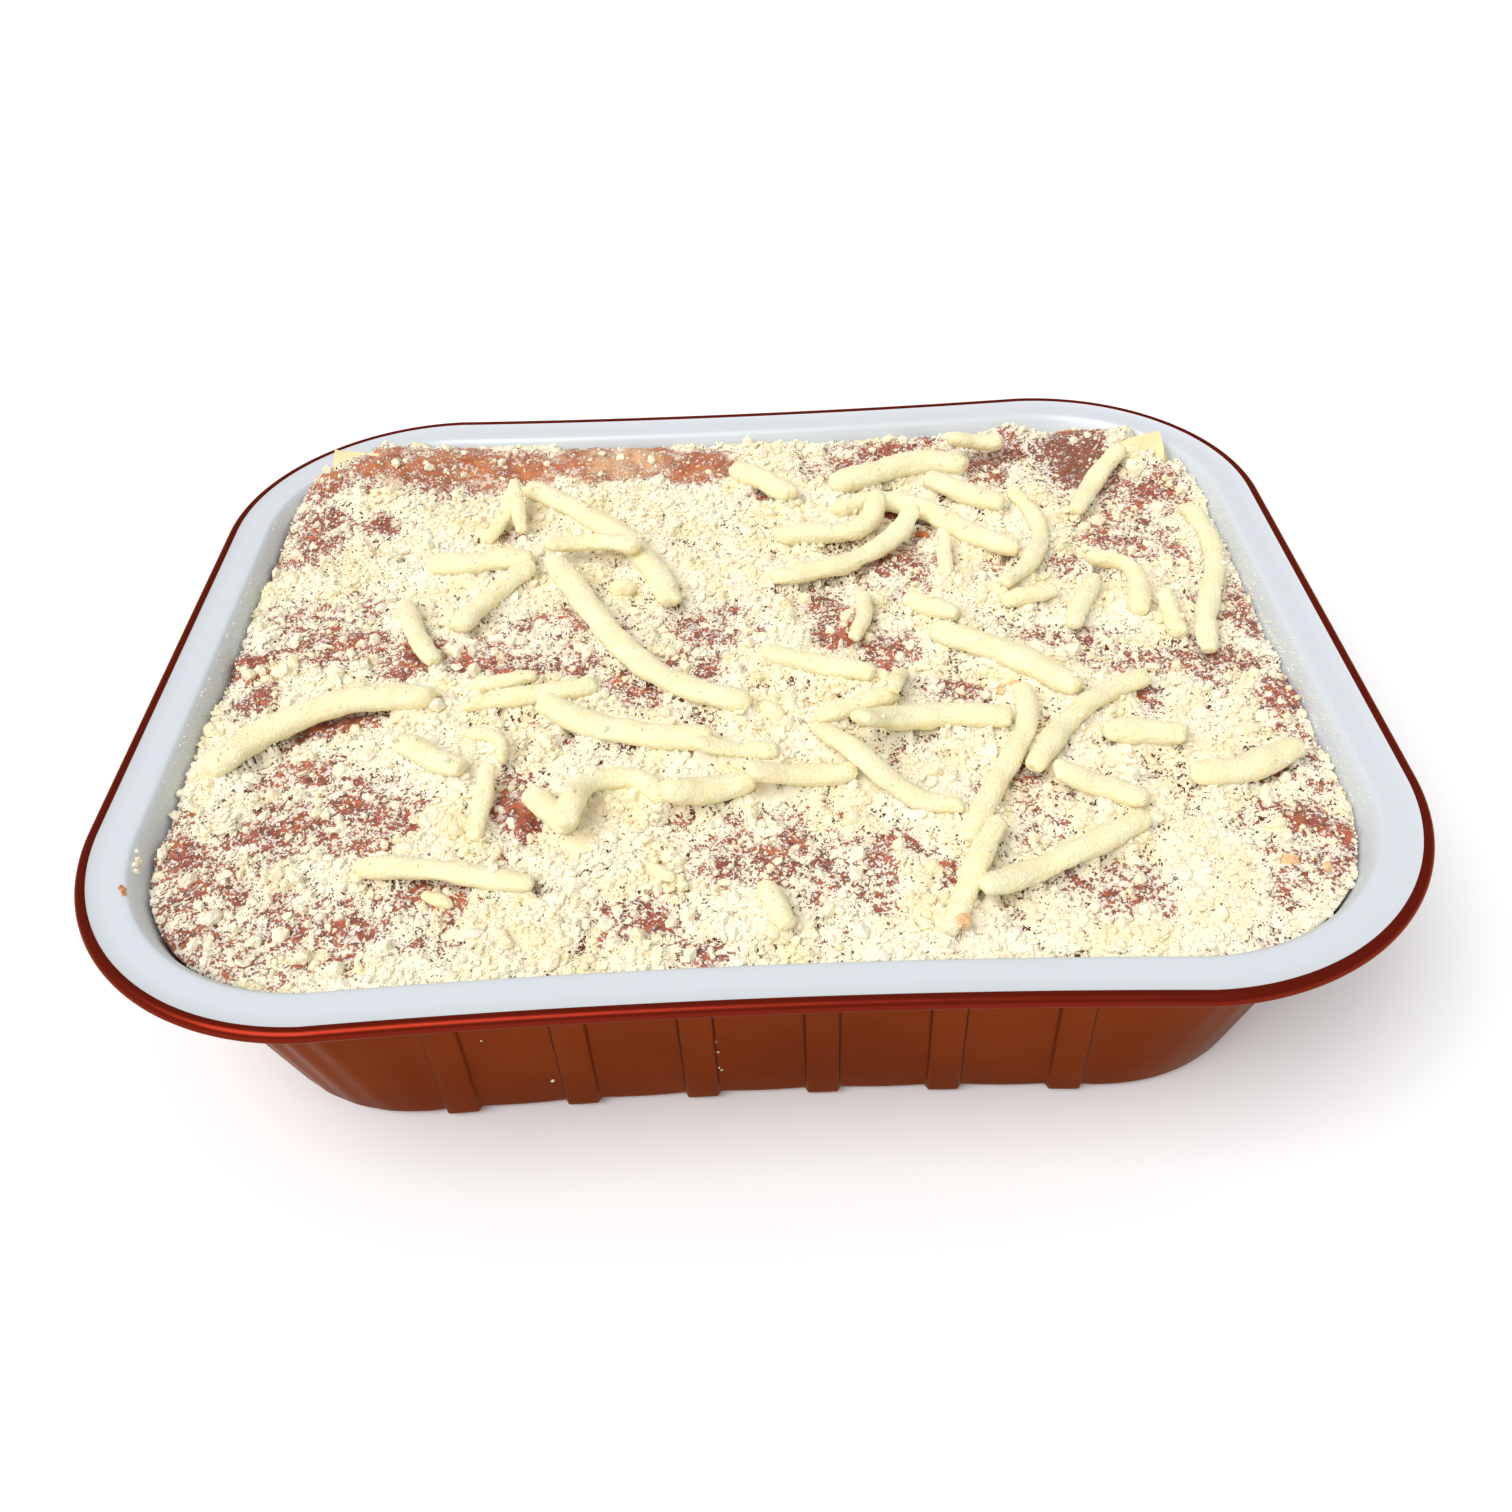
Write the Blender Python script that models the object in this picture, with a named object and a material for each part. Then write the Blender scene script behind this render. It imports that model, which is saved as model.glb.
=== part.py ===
"""A lasagne, ready for the oven, in its coated foil tray, at its real size.

Sizes below are in millimetres and the objects come out in metres. +Z is up, the tray's long side runs
along X, its front is towards -Y, and it rests on Z = 0 with its base centred on the origin. The tray
holds a filling, a sheet of pasta, a layer of meat sauce, a bed of grated cheese and the long shreds of
mozzarella that lie on the bed.
"""

from math import ceil, cos, hypot, pi, radians, sin
from random import Random

import bmesh
import bpy
from mathutils import Vector, noise
from mathutils.bvhtree import BVHTree

MM = 0.001

# Tray
RIM_LENGTH = 160.0
RIM_WIDTH = 131.4
HEIGHT = 34.6
RIM_CORNER = 32.5
FLANGE_WIDTH = 6.4
MOUTH_CORNER = 25.2
SIDE_BOW = 1.3
END_TAPER = 8.6
SIDE_TAPER = 7.9
BASE_CORNER = 21.7
BASE_EDGE = 2.0
FOIL = 0.5
BEAD_RADIUS = 0.9
BEAD_ANGLES = (215, 290, 5, 75, 142)
FLANGE_DROP = 0.35
RIB_PITCH_BASE = 15.1
RIB_PITCH_RIM = 14.2
RIB_HEIGHT = 0.8
RIB_CREST = 3.4
RIB_FOOT = 4.8
RIBS_LONG_SIDE = 6
RIBS_SHORT_SIDE = 4
CORNER_STEPS = 12
FLUTE_DEPTH = 0.22

# Layers, measured from the food's visible surface downwards
CLEARANCE = 0.45
EDGE_UNEVEN = 1.1
SURFACE_DROP = 2.7
SURFACE_DOME = 2.5
BED_DEPTH = 0.6
SAUCE_TOP = 0.95
SAUCE_BOTTOM = 3.3
PASTA_TOP = 3.65
PASTA_BOTTOM = 4.65
FILLING_TOP = 5.0
LAYER_CELLS = (15, 11)
BUMP_HEIGHT = 0.7
BUMP_LENGTH = 5.0

# Pasta sheet, whose two back corners ride up over the tray's round corners
PASTA_LEFT = -65.5
PASTA_RIGHT = 68.0
PASTA_FRONT = -46.0
PASTA_BACK_LEFT = 52.5
PASTA_BACK_RIGHT = 48.4
LEFT_CORNER_LIFT = 6.2
RIGHT_CORNER_LIFT = 4.4
CORNER_REACH = 20.0
EDGE_LIFT = 2.2
EDGE_REACH_X = 74.0
EDGE_REACH_Y = 24.0

# Meat sauce that shows through the cheese: middle x, y and half sizes
PATCHES = (
    (-51, 50.5, 12, 3.6),
    (-20, 51, 10, 3.2),
    (22, 48, 8, 3.6),
    (60, 30, 5, 8.0),
    (-67, 31, 3.4, 4.5),
    (-50, 0, 5, 6.0),
    (-55, -18, 3.4, 5.0),
    (-45, -31, 5, 3.4),
    (-66, -39, 3.4, 5.5),
    (-50, -48, 7, 2.6),
    (-5, 2, 4, 6.5),
    (16, 2, 6, 4.5),
    (23, 17, 3.6, 4.0),
    (6, -41, 11, 3.4),
    (54, -8, 8, 3.2),
    (43, -48, 5, 2.8),
)
PATCH_SIDES = 8
PATCH_GAP = 0.35
PATCH_RISE = 0.5

# Sauce that stands up from the layer at the back: middle x, y, half sizes and height
SAUCE_LUMPS = (
    (42, 51.5, 2.6, 2.2, 3.2),
    (51, 50.5, 5.2, 2.4, 2.2),
)

# Crumbs of cheese fused to the bed
CRUMB_COUNT = 66
CRUMB_RADIUS = (1.0, 1.7)
CRUMB_RISE = 0.7

# Mozzarella shreds: middle x, y, heading, length, bend, sway, width.
# The bend turns the shred from end to end and the sway turns both ends alike, in degrees.
SHREDS = (
    (-20, 25, -55, 41, -46, 0, 4.1),
    (-37, 32, 70, 10, 5, 0, 2.4),
    (-34.5, 33, -81, 7, 0, 0, 2.0),
    (-39, 20.5, 2, 14, 10, 0, 4.4),
    (-36, 11, 57, 16, -30, -4, 3.7),
    (-46, 4, -67, 15, 17, 4, 3.2),
    (-16, -0.5, -51, 45, 48, 23, 4.1),
    (-22, 20.5, -11, 14, -90, 20, 3.6),
    (-28.5, -11.5, 9, 16, 12, 0, 3.2),
    (-32.5, -8, 8, 8, 0, 0, 2.6),
    (-56, -14.5, 23, 30, -76, 0, 4.6),
    (-16, -19.5, -18, 22, 28, 13, 4.2),
    (-40, -23, -38, 10, 14, 0, 3.8),
    (-32.5, -20.5, -45, 9, -140, -40, 2.4),
    (-32.5, -32, -93, 10, 0, 0, 2.4),
    (-35.5, -42.5, -11, 20, -12, 22, 3.1),
    (-24, -33.5, -46, 7, 0, 0, 3.8),
    (-17, -32, 26, 21, -200, -25, 3.4),
    (-5, -32, 18, 10, 5, 0, 4.2),
    (6.5, -30, 10, 12, -14, 0, 3.5),
    (-1.5, -24.5, 2, 9, 0, 0, 2.8),
    (16, -29.5, -43, 22, 69, 22, 3.2),
    (23, -21, 11, 20, -69, 19, 4.2),
    (14, -17, 21, 10, 12, 0, 3.3),
    (19.5, -14, 77, 7, 0, 0, 2.1),
    (31.5, -27.5, -112, 29, -25, 33, 2.9),
    (34.5, -8, -38, 21, -26, 0, 4.6),
    (9.5, -8, -22, 14, 5, -6, 3.5),
    (25, -46.5, -116, 16, 5, -4, 2.8),
    (36, -44, 29, 23, 3, 6, 3.4),
    (42.5, -20, 45, 25, -44, -12, 3.3),
    (49.5, -23.5, -4, 9, -32, 0, 4.4),
    (61, -29.5, 21, 15, 46, -19, 4.2),
    (42, -33.5, -21, 10, -24, 0, 3.7),
    (66.5, 11.5, -100, 36, -31, 33, 3.3),
    (47.5, 5, 65, 12, -18, 0, 2.8),
    (54.5, 10, -75, 17, -138, 80, 3.8),
    (59, 1.5, -88, 7, 0, 0, 3.0),
    (40, 6, 18, 7, 0, 0, 3.2),
    (25, 42, 14, 22, -50, -40, 5.2),
    (38, 48, 9, 8, -70, 0, 3.8),
    (27.5, 27, -26, 32, -79, 80, 4.2),
    (14, 25, 21, 19, 90, 70, 4.4),
    (16, 17.5, -147, 26, -54, 0, 3.6),
    (34.5, 34, -37, 12, 30, 0, 4.6),
    (42, 20.5, -102, 27, -84, 18, 2.9),
    (29.5, 17, -94, 8, 0, 0, 2.0),
    (55.5, 36.5, 57, 17, -18, 0, 3.4),
    (26, 4, -34, 7, 0, 0, 3.6),
    (16, 2, -102, 10, -53, 12, 2.3),
    (3.5, 40, -47, 12, -27, 0, 4.6),
    (2.5, -49.5, -70, 6, 0, 0, 2.8),
)
SHRED_SIDES = 6
SHRED_SEGMENT = 6.0
SHRED_FLATNESS = 0.64
SHRED_TIP = 0.55
SHRED_BEND_RADIUS = 9.0
REST_GAP = 0.3

SEED = 11


def clear_scene():
    for old in list(bpy.data.objects):
        bpy.data.objects.remove(old, do_unlink=True)


def make_collection(name):
    collection = bpy.data.collections.new(name)
    bpy.context.scene.collection.children.link(collection)
    return collection


def make_material(name, colour, roughness, metallic=0.0):
    material = bpy.data.materials.new(name)
    material.use_nodes = True
    shader = material.node_tree.nodes["Principled BSDF"]
    shader.inputs["Base Color"].default_value = (*colour, 1.0)
    shader.inputs["Roughness"].default_value = roughness
    shader.inputs["Metallic"].default_value = metallic
    return material


def object_from_bmesh(name, shape, collection, material=None):
    bmesh.ops.recalc_face_normals(shape, faces=shape.faces)
    mesh = bpy.data.meshes.new(name)
    shape.to_mesh(mesh)
    shape.free()
    made = bpy.data.objects.new(name, mesh)
    collection.objects.link(made)
    if material:
        mesh.materials.append(material)
    return made


def apply_modifiers(target):
    bpy.context.view_layer.update()
    evaluated = target.evaluated_get(bpy.context.evaluated_depsgraph_get())
    finished = bpy.data.meshes.new_from_object(evaluated)
    finished.name = target.name
    target.modifiers.clear()
    target.data = finished


def combine(target, others, operation):
    """One Boolean of the target with a whole collection, which is then removed."""
    group = bpy.data.collections.new("operands")
    for other in others:
        for owner in list(other.users_collection):
            owner.objects.unlink(other)
        group.objects.link(other)
    bpy.context.scene.collection.children.link(group)
    boolean = target.modifiers.new(operation.title(), "BOOLEAN")
    boolean.operation = operation
    boolean.operand_type = "COLLECTION"
    boolean.collection = group
    boolean.solver = "MANIFOLD"
    apply_modifiers(target)
    for other in others:
        bpy.data.objects.remove(other, do_unlink=True)
    bpy.data.collections.remove(group)
    keep_largest_shell(target.data)


def keep_largest_shell(mesh):
    """Drop any loose scrap that a Boolean leaves."""
    shape = bmesh.new()
    shape.from_mesh(mesh)
    shape.verts.ensure_lookup_table()
    waiting = set(shape.verts)
    shells = []
    while waiting:
        seed = waiting.pop()
        shell = {seed}
        front = [seed]
        while front:
            for edge in front.pop().link_edges:
                for vertex in edge.verts:
                    if vertex in waiting:
                        waiting.discard(vertex)
                        shell.add(vertex)
                        front.append(vertex)
        shells.append(shell)
    shells.sort(key=len)
    for scrap in shells[:-1]:
        bmesh.ops.delete(shape, geom=list(scrap), context="VERTS")
    shape.to_mesh(mesh)
    shape.free()


def loft(rings, cap_start=True, cap_end=True):
    """Bridge closed rings of (x, y, z) in millimetres, one after the other."""
    shape = bmesh.new()
    loops = [[shape.verts.new(Vector(point) * MM) for point in ring] for ring in rings]
    for lower, upper in zip(loops, loops[1:]):
        for index in range(len(lower)):
            after = (index + 1) % len(lower)
            shape.faces.new((lower[index], lower[after], upper[after], upper[index]))
    if cap_start:
        shape.faces.new(loops[0])
    if cap_end:
        shape.faces.new(loops[-1])
    return shape


def side_stations(half_straight, ribs, pitch):
    """Places along one side as (distance from its middle, how far the rib stands up there)."""
    if not ribs:
        return [(half_straight * step, 0) for step in (-1, -0.5, 0, 0.5, 1)]
    places = []
    for index in range(ribs):
        middle = (index - (ribs - 1) / 2) * pitch
        places.append((middle - RIB_FOOT / 2, 0))
        places.append((middle - RIB_CREST / 2, 1))
        places.append((middle + RIB_CREST / 2, 1))
        places.append((middle + RIB_FOOT / 2, 0))
    return places


def tray_ring(half_x, half_y, corner, z, rib=0.0, flute=0.0, ribbed=True, uneven=0.0):
    """One level outline of the tray or the food, anticlockwise from the front side's left end."""
    pitch = RIB_PITCH_BASE + (RIB_PITCH_RIM - RIB_PITCH_BASE) * z / HEIGHT
    straight_x = half_x - corner
    straight_y = half_y - corner
    long_side = side_stations(straight_x, RIBS_LONG_SIDE if ribbed else 0, pitch)
    short_side = side_stations(straight_y, RIBS_SHORT_SIDE if ribbed else 0, pitch)
    steps = CORNER_STEPS if ribbed else CORNER_STEPS // 2
    points = []
    for quarter in range(4):
        turn = quarter * pi / 2
        along, across = (straight_x, straight_y) if quarter % 2 == 0 else (straight_y, straight_x)
        for place, raised in long_side if quarter % 2 == 0 else short_side:
            bow = SIDE_BOW * max(0.0, 1 - (place / straight_x) ** 2) if quarter % 2 == 0 else 0.0
            points.append((place, -(across + corner - bow + rib * raised), turn))
        for step in range(1, steps):
            angle = (step / steps - 1) * pi / 2
            reach = corner + flute * (step % 2)
            points.append((along + reach * cos(angle), -across + reach * sin(angle), turn))
    ring = []
    for x, y, turn in points:
        ring.append((x * cos(turn) - y * sin(turn), x * sin(turn) + y * cos(turn), z))
    if uneven:
        ring = [draw_in(point, uneven) for point in ring]
    return ring


def draw_in(point, uneven):
    """Move an outline point towards the middle by a soft random amount."""
    x, y, z = point
    pull = uneven * abs(noise.noise(Vector((x * 0.09, y * 0.09, 3.0)))) * 2
    distance = hypot(x, y)
    scale = (distance - pull) / distance
    return (x * scale, y * scale, z)


def wall_size(z, outwards=0.0):
    """Half length, half width and corner radius of the wall's inner face at a height."""
    share = min(z, HEIGHT) / HEIGHT
    half_x = RIM_LENGTH / 2 - FLANGE_WIDTH - END_TAPER * (1 - share)
    half_y = RIM_WIDTH / 2 - FLANGE_WIDTH - SIDE_TAPER * (1 - share)
    corner = BASE_CORNER + (MOUTH_CORNER - BASE_CORNER) * share
    return half_x + outwards, half_y + outwards, corner + outwards


def flange_ring(inset, z):
    """A ring of the flange or the bead, inset from the rim's outer edge."""
    share = min(1.0, inset / FLANGE_WIDTH)
    corner = RIM_CORNER + (MOUTH_CORNER - RIM_CORNER) * share
    return tray_ring(RIM_LENGTH / 2 - inset, RIM_WIDTH / 2 - inset, corner, z)


def build_tray(collection, coating, lining):
    rings = []
    for angle in (0, 45, 90):
        inset = BASE_EDGE * (1 - sin(radians(angle)))
        z = BASE_EDGE * (1 - cos(radians(angle)))
        rings.append(tray_ring(*wall_size(z, FOIL - inset), z, RIB_HEIGHT, FLUTE_DEPTH * angle / 90))
    rib_end = HEIGHT - 4.0
    rings.append(tray_ring(*wall_size(rib_end, FOIL), rib_end, RIB_HEIGHT, FLUTE_DEPTH))
    flange_top = HEIGHT - FLANGE_DROP
    rings.append(tray_ring(*wall_size(flange_top - FOIL, FOIL), flange_top - FOIL))
    for angle in BEAD_ANGLES:
        inset = BEAD_RADIUS * (1 - cos(radians(angle)))
        rings.append(flange_ring(inset, HEIGHT - BEAD_RADIUS * (1 - sin(radians(angle)))))
    coated = len(rings) - 1
    rings.append(flange_ring(FLANGE_WIDTH - 0.7, flange_top))
    rings.append(tray_ring(*wall_size(flange_top - 0.7), flange_top - 0.7))
    rings.append(tray_ring(*wall_size(FOIL + BASE_EDGE), FOIL + BASE_EDGE))
    rings.append(tray_ring(*wall_size(FOIL, -BASE_EDGE), FOIL))
    shape = loft(rings)
    sides = len(rings[0])
    for index, face in enumerate(shape.faces):
        face.material_index = 1 if index >= coated * sides else 0
    shape.faces.ensure_lookup_table()
    shape.faces[-2].material_index = 0
    tray = object_from_bmesh("tray", shape, collection, coating)
    tray.data.materials.append(lining)
    return tray


def edge_rise(x, y):
    """How far the pasta sheet's back edge and corners lift everything that lies on it."""
    rise = 0.0
    left = (PASTA_LEFT, PASTA_BACK_LEFT, LEFT_CORNER_LIFT)
    right = (PASTA_RIGHT, PASTA_BACK_RIGHT, RIGHT_CORNER_LIFT)
    for corner_x, corner_y, lift in (left, right):
        distance = hypot(x - corner_x, y - corner_y) / CORNER_REACH
        rise += lift * max(0.0, 1 - distance) ** 1.4
    along = hypot((x - PASTA_LEFT) / EDGE_REACH_X, (y - PASTA_BACK_LEFT) / EDGE_REACH_Y)
    return rise + EDGE_LIFT * max(0.0, 1 - along)


def surface(x, y):
    """Height of the food's visible surface, without its crumbs."""
    half_x, half_y, _ = wall_size(HEIGHT)
    dome = max(0.0, 1 - (x / half_x) ** 2) * max(0.0, 1 - (y / half_y) ** 2)
    return HEIGHT - SURFACE_DROP + SURFACE_DOME * dome + edge_rise(x, y)


def build_filling(collection, material):
    top = HEIGHT - SURFACE_DROP - FILLING_TOP
    gap = -CLEARANCE
    rings = [
        tray_ring(*wall_size(FOIL, gap - BASE_EDGE), FOIL + REST_GAP, ribbed=False),
        tray_ring(*wall_size(FOIL + BASE_EDGE, gap), FOIL + BASE_EDGE + REST_GAP, ribbed=False),
        tray_ring(*wall_size(top, gap), top, ribbed=False),
    ]
    for scale in (0.7, 0.35):
        rings.append([
            (x * scale, y * scale, surface(x * scale, y * scale) - FILLING_TOP)
            for x, y, _ in rings[2]
        ])
    shape = loft(rings)
    return object_from_bmesh("lasagne_filling", shape, collection, material)


def relief(x, y, height):
    bump = noise.noise(Vector((x / BUMP_LENGTH, y / BUMP_LENGTH, 0.5)))
    fine = noise.noise(Vector((x / 2.3, y / 2.3, 8.5)))
    return height * max(-0.5, min(1.0, bump + 0.5 * fine))


def slab(name, bottom, top, collection, material):
    """A closed slab between two height functions, on one grid so that stacked slabs stay apart."""
    half_x, half_y, _ = wall_size(HEIGHT, 2)
    left, right, front, back = (-half_x, half_x, -half_y, half_y)
    cells = LAYER_CELLS
    bpy.ops.mesh.primitive_grid_add(x_subdivisions=cells[0], y_subdivisions=cells[1], size=1)
    grid = bpy.context.object
    shape = bmesh.new()
    shape.from_mesh(grid.data)
    bpy.data.objects.remove(grid, do_unlink=True)
    spacing = ((right - left) / cells[0], (back - front) / cells[1])
    draw = Random(SEED)
    for vertex in shape.verts:
        inside = abs(vertex.co.x) < 0.49 and abs(vertex.co.y) < 0.49
        x = left + (vertex.co.x + 0.5) * (right - left) + inside * spacing[0] * draw.uniform(-0.25, 0.25)
        y = front + (vertex.co.y + 0.5) * (back - front) + inside * spacing[1] * draw.uniform(-0.25, 0.25)
        vertex.co = Vector((x, y, 0)) * MM
    upper = bmesh.ops.extrude_face_region(shape, geom=shape.faces[:])["geom"]
    upper = {item for item in upper if isinstance(item, bmesh.types.BMVert)}
    for vertex in shape.verts:
        x, y = vertex.co.x / MM, vertex.co.y / MM
        vertex.co.z = (top(x, y) if vertex in upper else bottom(x, y)) * MM
    bmesh.ops.triangulate(shape, faces=shape.faces, quad_method="FIXED")
    return object_from_bmesh(name, shape, collection, material)


def mouth_prism(collection, uneven):
    """The space inside the tray that the food may fill, open well above the rim."""
    rings = []
    for z in (HEIGHT - 12, HEIGHT - 0.4):
        rings.append(tray_ring(*wall_size(z, -CLEARANCE), z, ribbed=False, uneven=uneven))
    rings.append([(x, y, HEIGHT + 12) for x, y, _ in rings[-1]])
    return object_from_bmesh("mouth", loft(rings), collection)


def patch_ring(patch, grow, scale, z_offset):
    """An irregular ring round a patch of sauce, at an offset from the food's surface."""
    x, y, half_x, half_y = patch[:4]
    draw = Random(int(x * 31 + y * 7) + SEED)
    ring = []
    for index in range(PATCH_SIDES):
        angle = 2 * pi * index / PATCH_SIDES
        reach = draw.uniform(0.78, 1.15)
        px = x + (half_x * reach + grow) * scale * cos(angle)
        py = y + (half_y * reach + grow) * scale * sin(angle)
        ring.append((px, py, surface(px, py) + z_offset))
    return ring


def sauce_mound(patch, collection, rise=PATCH_RISE):
    rings = [
        patch_ring(patch, 0, 1.0, -SAUCE_TOP - 0.8),
        patch_ring(patch, 0, 1.0, -0.3),
        patch_ring(patch, 0, 0.55, rise),
    ]
    return object_from_bmesh("mound", loft(rings), collection)


def build_pasta(collection, material):
    pasta = slab("pasta_sheet", lambda x, y: surface(x, y) - PASTA_BOTTOM,
                 lambda x, y: surface(x, y) - PASTA_TOP, collection, material)
    bpy.ops.mesh.primitive_cube_add(size=1, location=(0, 0, 0))
    sheet = bpy.context.object
    for vertex in sheet.data.vertices:
        x = PASTA_RIGHT if vertex.co.x > 0 else PASTA_LEFT
        back = PASTA_BACK_RIGHT if vertex.co.x > 0 else PASTA_BACK_LEFT
        y = back if vertex.co.y > 0 else PASTA_FRONT
        z = HEIGHT * 2 if vertex.co.z > 0 else 0
        vertex.co = Vector((x, y, z)) * MM
    combine(pasta, [sheet], "INTERSECT")
    combine(pasta, [mouth_prism(collection, 0.0)], "INTERSECT")
    return pasta


def build_sauce(collection, material):
    sauce = slab("meat_sauce", lambda x, y: surface(x, y) - SAUCE_BOTTOM,
                 lambda x, y: surface(x, y) - SAUCE_TOP, collection, material)
    combine(sauce, [mouth_prism(collection, EDGE_UNEVEN)], "INTERSECT")
    mounds = [sauce_mound(patch, collection) for patch in PATCHES]
    mounds += [sauce_mound(lump, collection, lump[4]) for lump in SAUCE_LUMPS]
    combine(sauce, mounds, "UNION")
    return sauce


def shred_path(row, spacing):
    """Points and headings along a shred's middle line, seen from above."""
    x, y, heading, length, bend, sway, _ = row
    count = max(2, ceil(length / spacing))
    headings = []
    for index in range(count + 1):
        share = index / count
        turn = bend * (share - 0.5) + sway * ((2 * share - 1) ** 2 - 1 / 3)
        headings.append(radians(heading + turn))
    points = [Vector((0, 0))]
    for before, after in zip(headings, headings[1:]):
        middle = (before + after) / 2
        points.append(points[-1] + Vector((cos(middle), sin(middle))) * length / count)
    centre = sum(points, Vector((0, 0))) / len(points)
    return [point - centre + Vector((x, y)) for point in points], headings


def near_shred(x, y, margin):
    for row in SHREDS:
        if hypot(x - row[0], y - row[1]) > row[3]:
            continue
        for point in shred_path(row, 1.5)[0]:
            if hypot(x - point.x, y - point.y) < row[6] / 2 + margin:
                return True
    return False


def near_patch(x, y, margin):
    for patch in (*PATCHES, *SAUCE_LUMPS):
        across = (x - patch[0]) / (patch[2] * 1.15 + margin)
        deep = (y - patch[1]) / (patch[3] * 1.15 + margin)
        if hypot(across, deep) < 1:
            return True
    return False


def crumb_spots():
    """Seeded places for the crumbs: apart from each other and clear of sauce, shreds and rim."""
    draw = Random(SEED)
    half_x, half_y, corner = wall_size(HEIGHT - 4, -2.5)
    spots = []
    for _ in range(40000):
        if len(spots) == CRUMB_COUNT:
            break
        x = draw.uniform(-half_x, half_x)
        y = draw.uniform(-half_y, half_y)
        radius = draw.uniform(*CRUMB_RADIUS)
        past_x = max(0.0, abs(x) - (half_x - corner))
        past_y = max(0.0, abs(y) - (half_y - corner))
        if hypot(past_x, past_y) > corner - radius:
            continue
        if any(hypot(x - spot[0], y - spot[1]) < radius + spot[2] + 2.2 for spot in spots):
            continue
        if near_patch(x, y, radius + 0.6) or near_shred(x, y, radius + 0.6):
            continue
        spots.append((x, y, radius))
    return spots


def crumb(spot, draw, collection):
    x, y, radius = spot
    z = surface(x, y) + radius * CRUMB_RISE
    bpy.ops.mesh.primitive_ico_sphere_add(subdivisions=1, radius=radius * MM, location=Vector((x, y, z)) * MM)
    made = bpy.context.object
    made.rotation_euler = [draw.uniform(0, pi) for _ in range(3)]
    made.scale = [draw.uniform(0.75, 1.0) for _ in range(3)]
    for owner in list(made.users_collection):
        owner.objects.unlink(made)
    collection.objects.link(made)
    return made


def build_cheese(collection, material):
    cheese = slab("grated_cheese", lambda x, y: surface(x, y) - BED_DEPTH,
                  lambda x, y: surface(x, y) + relief(x, y, BUMP_HEIGHT), collection, material)
    combine(cheese, [mouth_prism(collection, EDGE_UNEVEN)], "INTERSECT")
    holes = []
    for patch in (*PATCHES, *SAUCE_LUMPS):
        rings = [patch_ring(patch, PATCH_GAP, 1.0, -3), patch_ring(patch, PATCH_GAP, 1.0, 6)]
        holes.append(object_from_bmesh("hole", loft(rings), collection))
    combine(cheese, holes, "DIFFERENCE")
    draw = Random(SEED)
    combine(cheese, [crumb(spot, draw, collection) for spot in crumb_spots()], "UNION")
    return cheese


def world_tree(objects):
    """One search tree over the given objects, whose meshes are in world coordinates."""
    vertices, faces = [], []
    for item in objects:
        start = len(vertices)
        vertices += [vertex.co.copy() for vertex in item.data.vertices]
        faces += [[start + index for index in face.vertices] for face in item.data.polygons]
    return BVHTree.FromPolygons(vertices, faces)


def support_height(tree, x, y):
    hit = tree.ray_cast(Vector((x, y, HEIGHT * 3)) * MM, Vector((0, 0, -1)))
    return hit[0].z / MM if hit[0] else 0.0


def drape(row, points, headings, tree):
    """Heights of a shred's middle line: it rests on what is below and bends over the rest."""
    half_width = row[6] / 2
    thickness = row[6] * SHRED_FLATNESS
    step = row[3] / (len(points) - 1)
    heights = []
    for point, heading in zip(points, headings):
        along = Vector((cos(heading), sin(heading)))
        across = Vector((-along.y, along.x))
        under = 0.0
        for side in (-1.1, -0.55, 0, 0.55, 1.1):
            for ahead in (-0.6, -0.3, 0, 0.3, 0.6):
                spot = point + across * half_width * side + along * step * ahead
                drop = (1 - max(0.0, 1 - (side / 1.1) ** 2) ** 0.5) * thickness / 2
                under = max(under, support_height(tree, spot.x, spot.y) - drop)
        heights.append(under + REST_GAP + thickness / 2)
    sag = step * step / (2 * SHRED_BEND_RADIUS)
    for _ in range(60):
        for index in range(1, len(heights) - 1):
            level = (heights[index - 1] + heights[index + 1]) / 2 - sag
            heights[index] = max(heights[index], level)
    return heights


def build_shred(index, row, placed, collection, material):
    points, headings = shred_path(row, SHRED_SEGMENT)
    tree = world_tree(placed)
    heights = drape(row, points, headings, tree)
    half_width = row[6] / 2
    half_thick = half_width * SHRED_FLATNESS
    tip = Vector((cos(headings[0]), sin(headings[0])))
    end = Vector((cos(headings[-1]), sin(headings[-1])))
    stations = [(points[0] - tip * half_width * 0.3, headings[0], heights[0], SHRED_TIP)]
    stations += [(point, heading, z, 1.0) for point, heading, z in zip(points, headings, heights)]
    stations.append((points[-1] + end * half_width * 0.3, headings[-1], heights[-1], SHRED_TIP))
    lift = 0.0
    while True:
        rings = []
        for point, heading, z, scale in stations:
            ring = []
            for side in range(SHRED_SIDES):
                angle = 2 * pi * side / SHRED_SIDES
                across = half_width * scale * cos(angle)
                x = point.x - sin(heading) * across
                y = point.y + cos(heading) * across
                ring.append((x, y, z + lift + half_thick * scale * sin(angle)))
            rings.append(ring)
        shape = loft(rings)
        bmesh.ops.triangulate(shape, faces=shape.faces)
        if lift > 6 or not BVHTree.FromBMesh(shape).overlap(tree):
            break
        shape.free()
        lift += 0.15
    return object_from_bmesh(f"shred_{index + 1:02d}", shape, collection, material)


def shade_soft(item):
    for face in item.data.polygons:
        face.use_smooth = True


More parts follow.
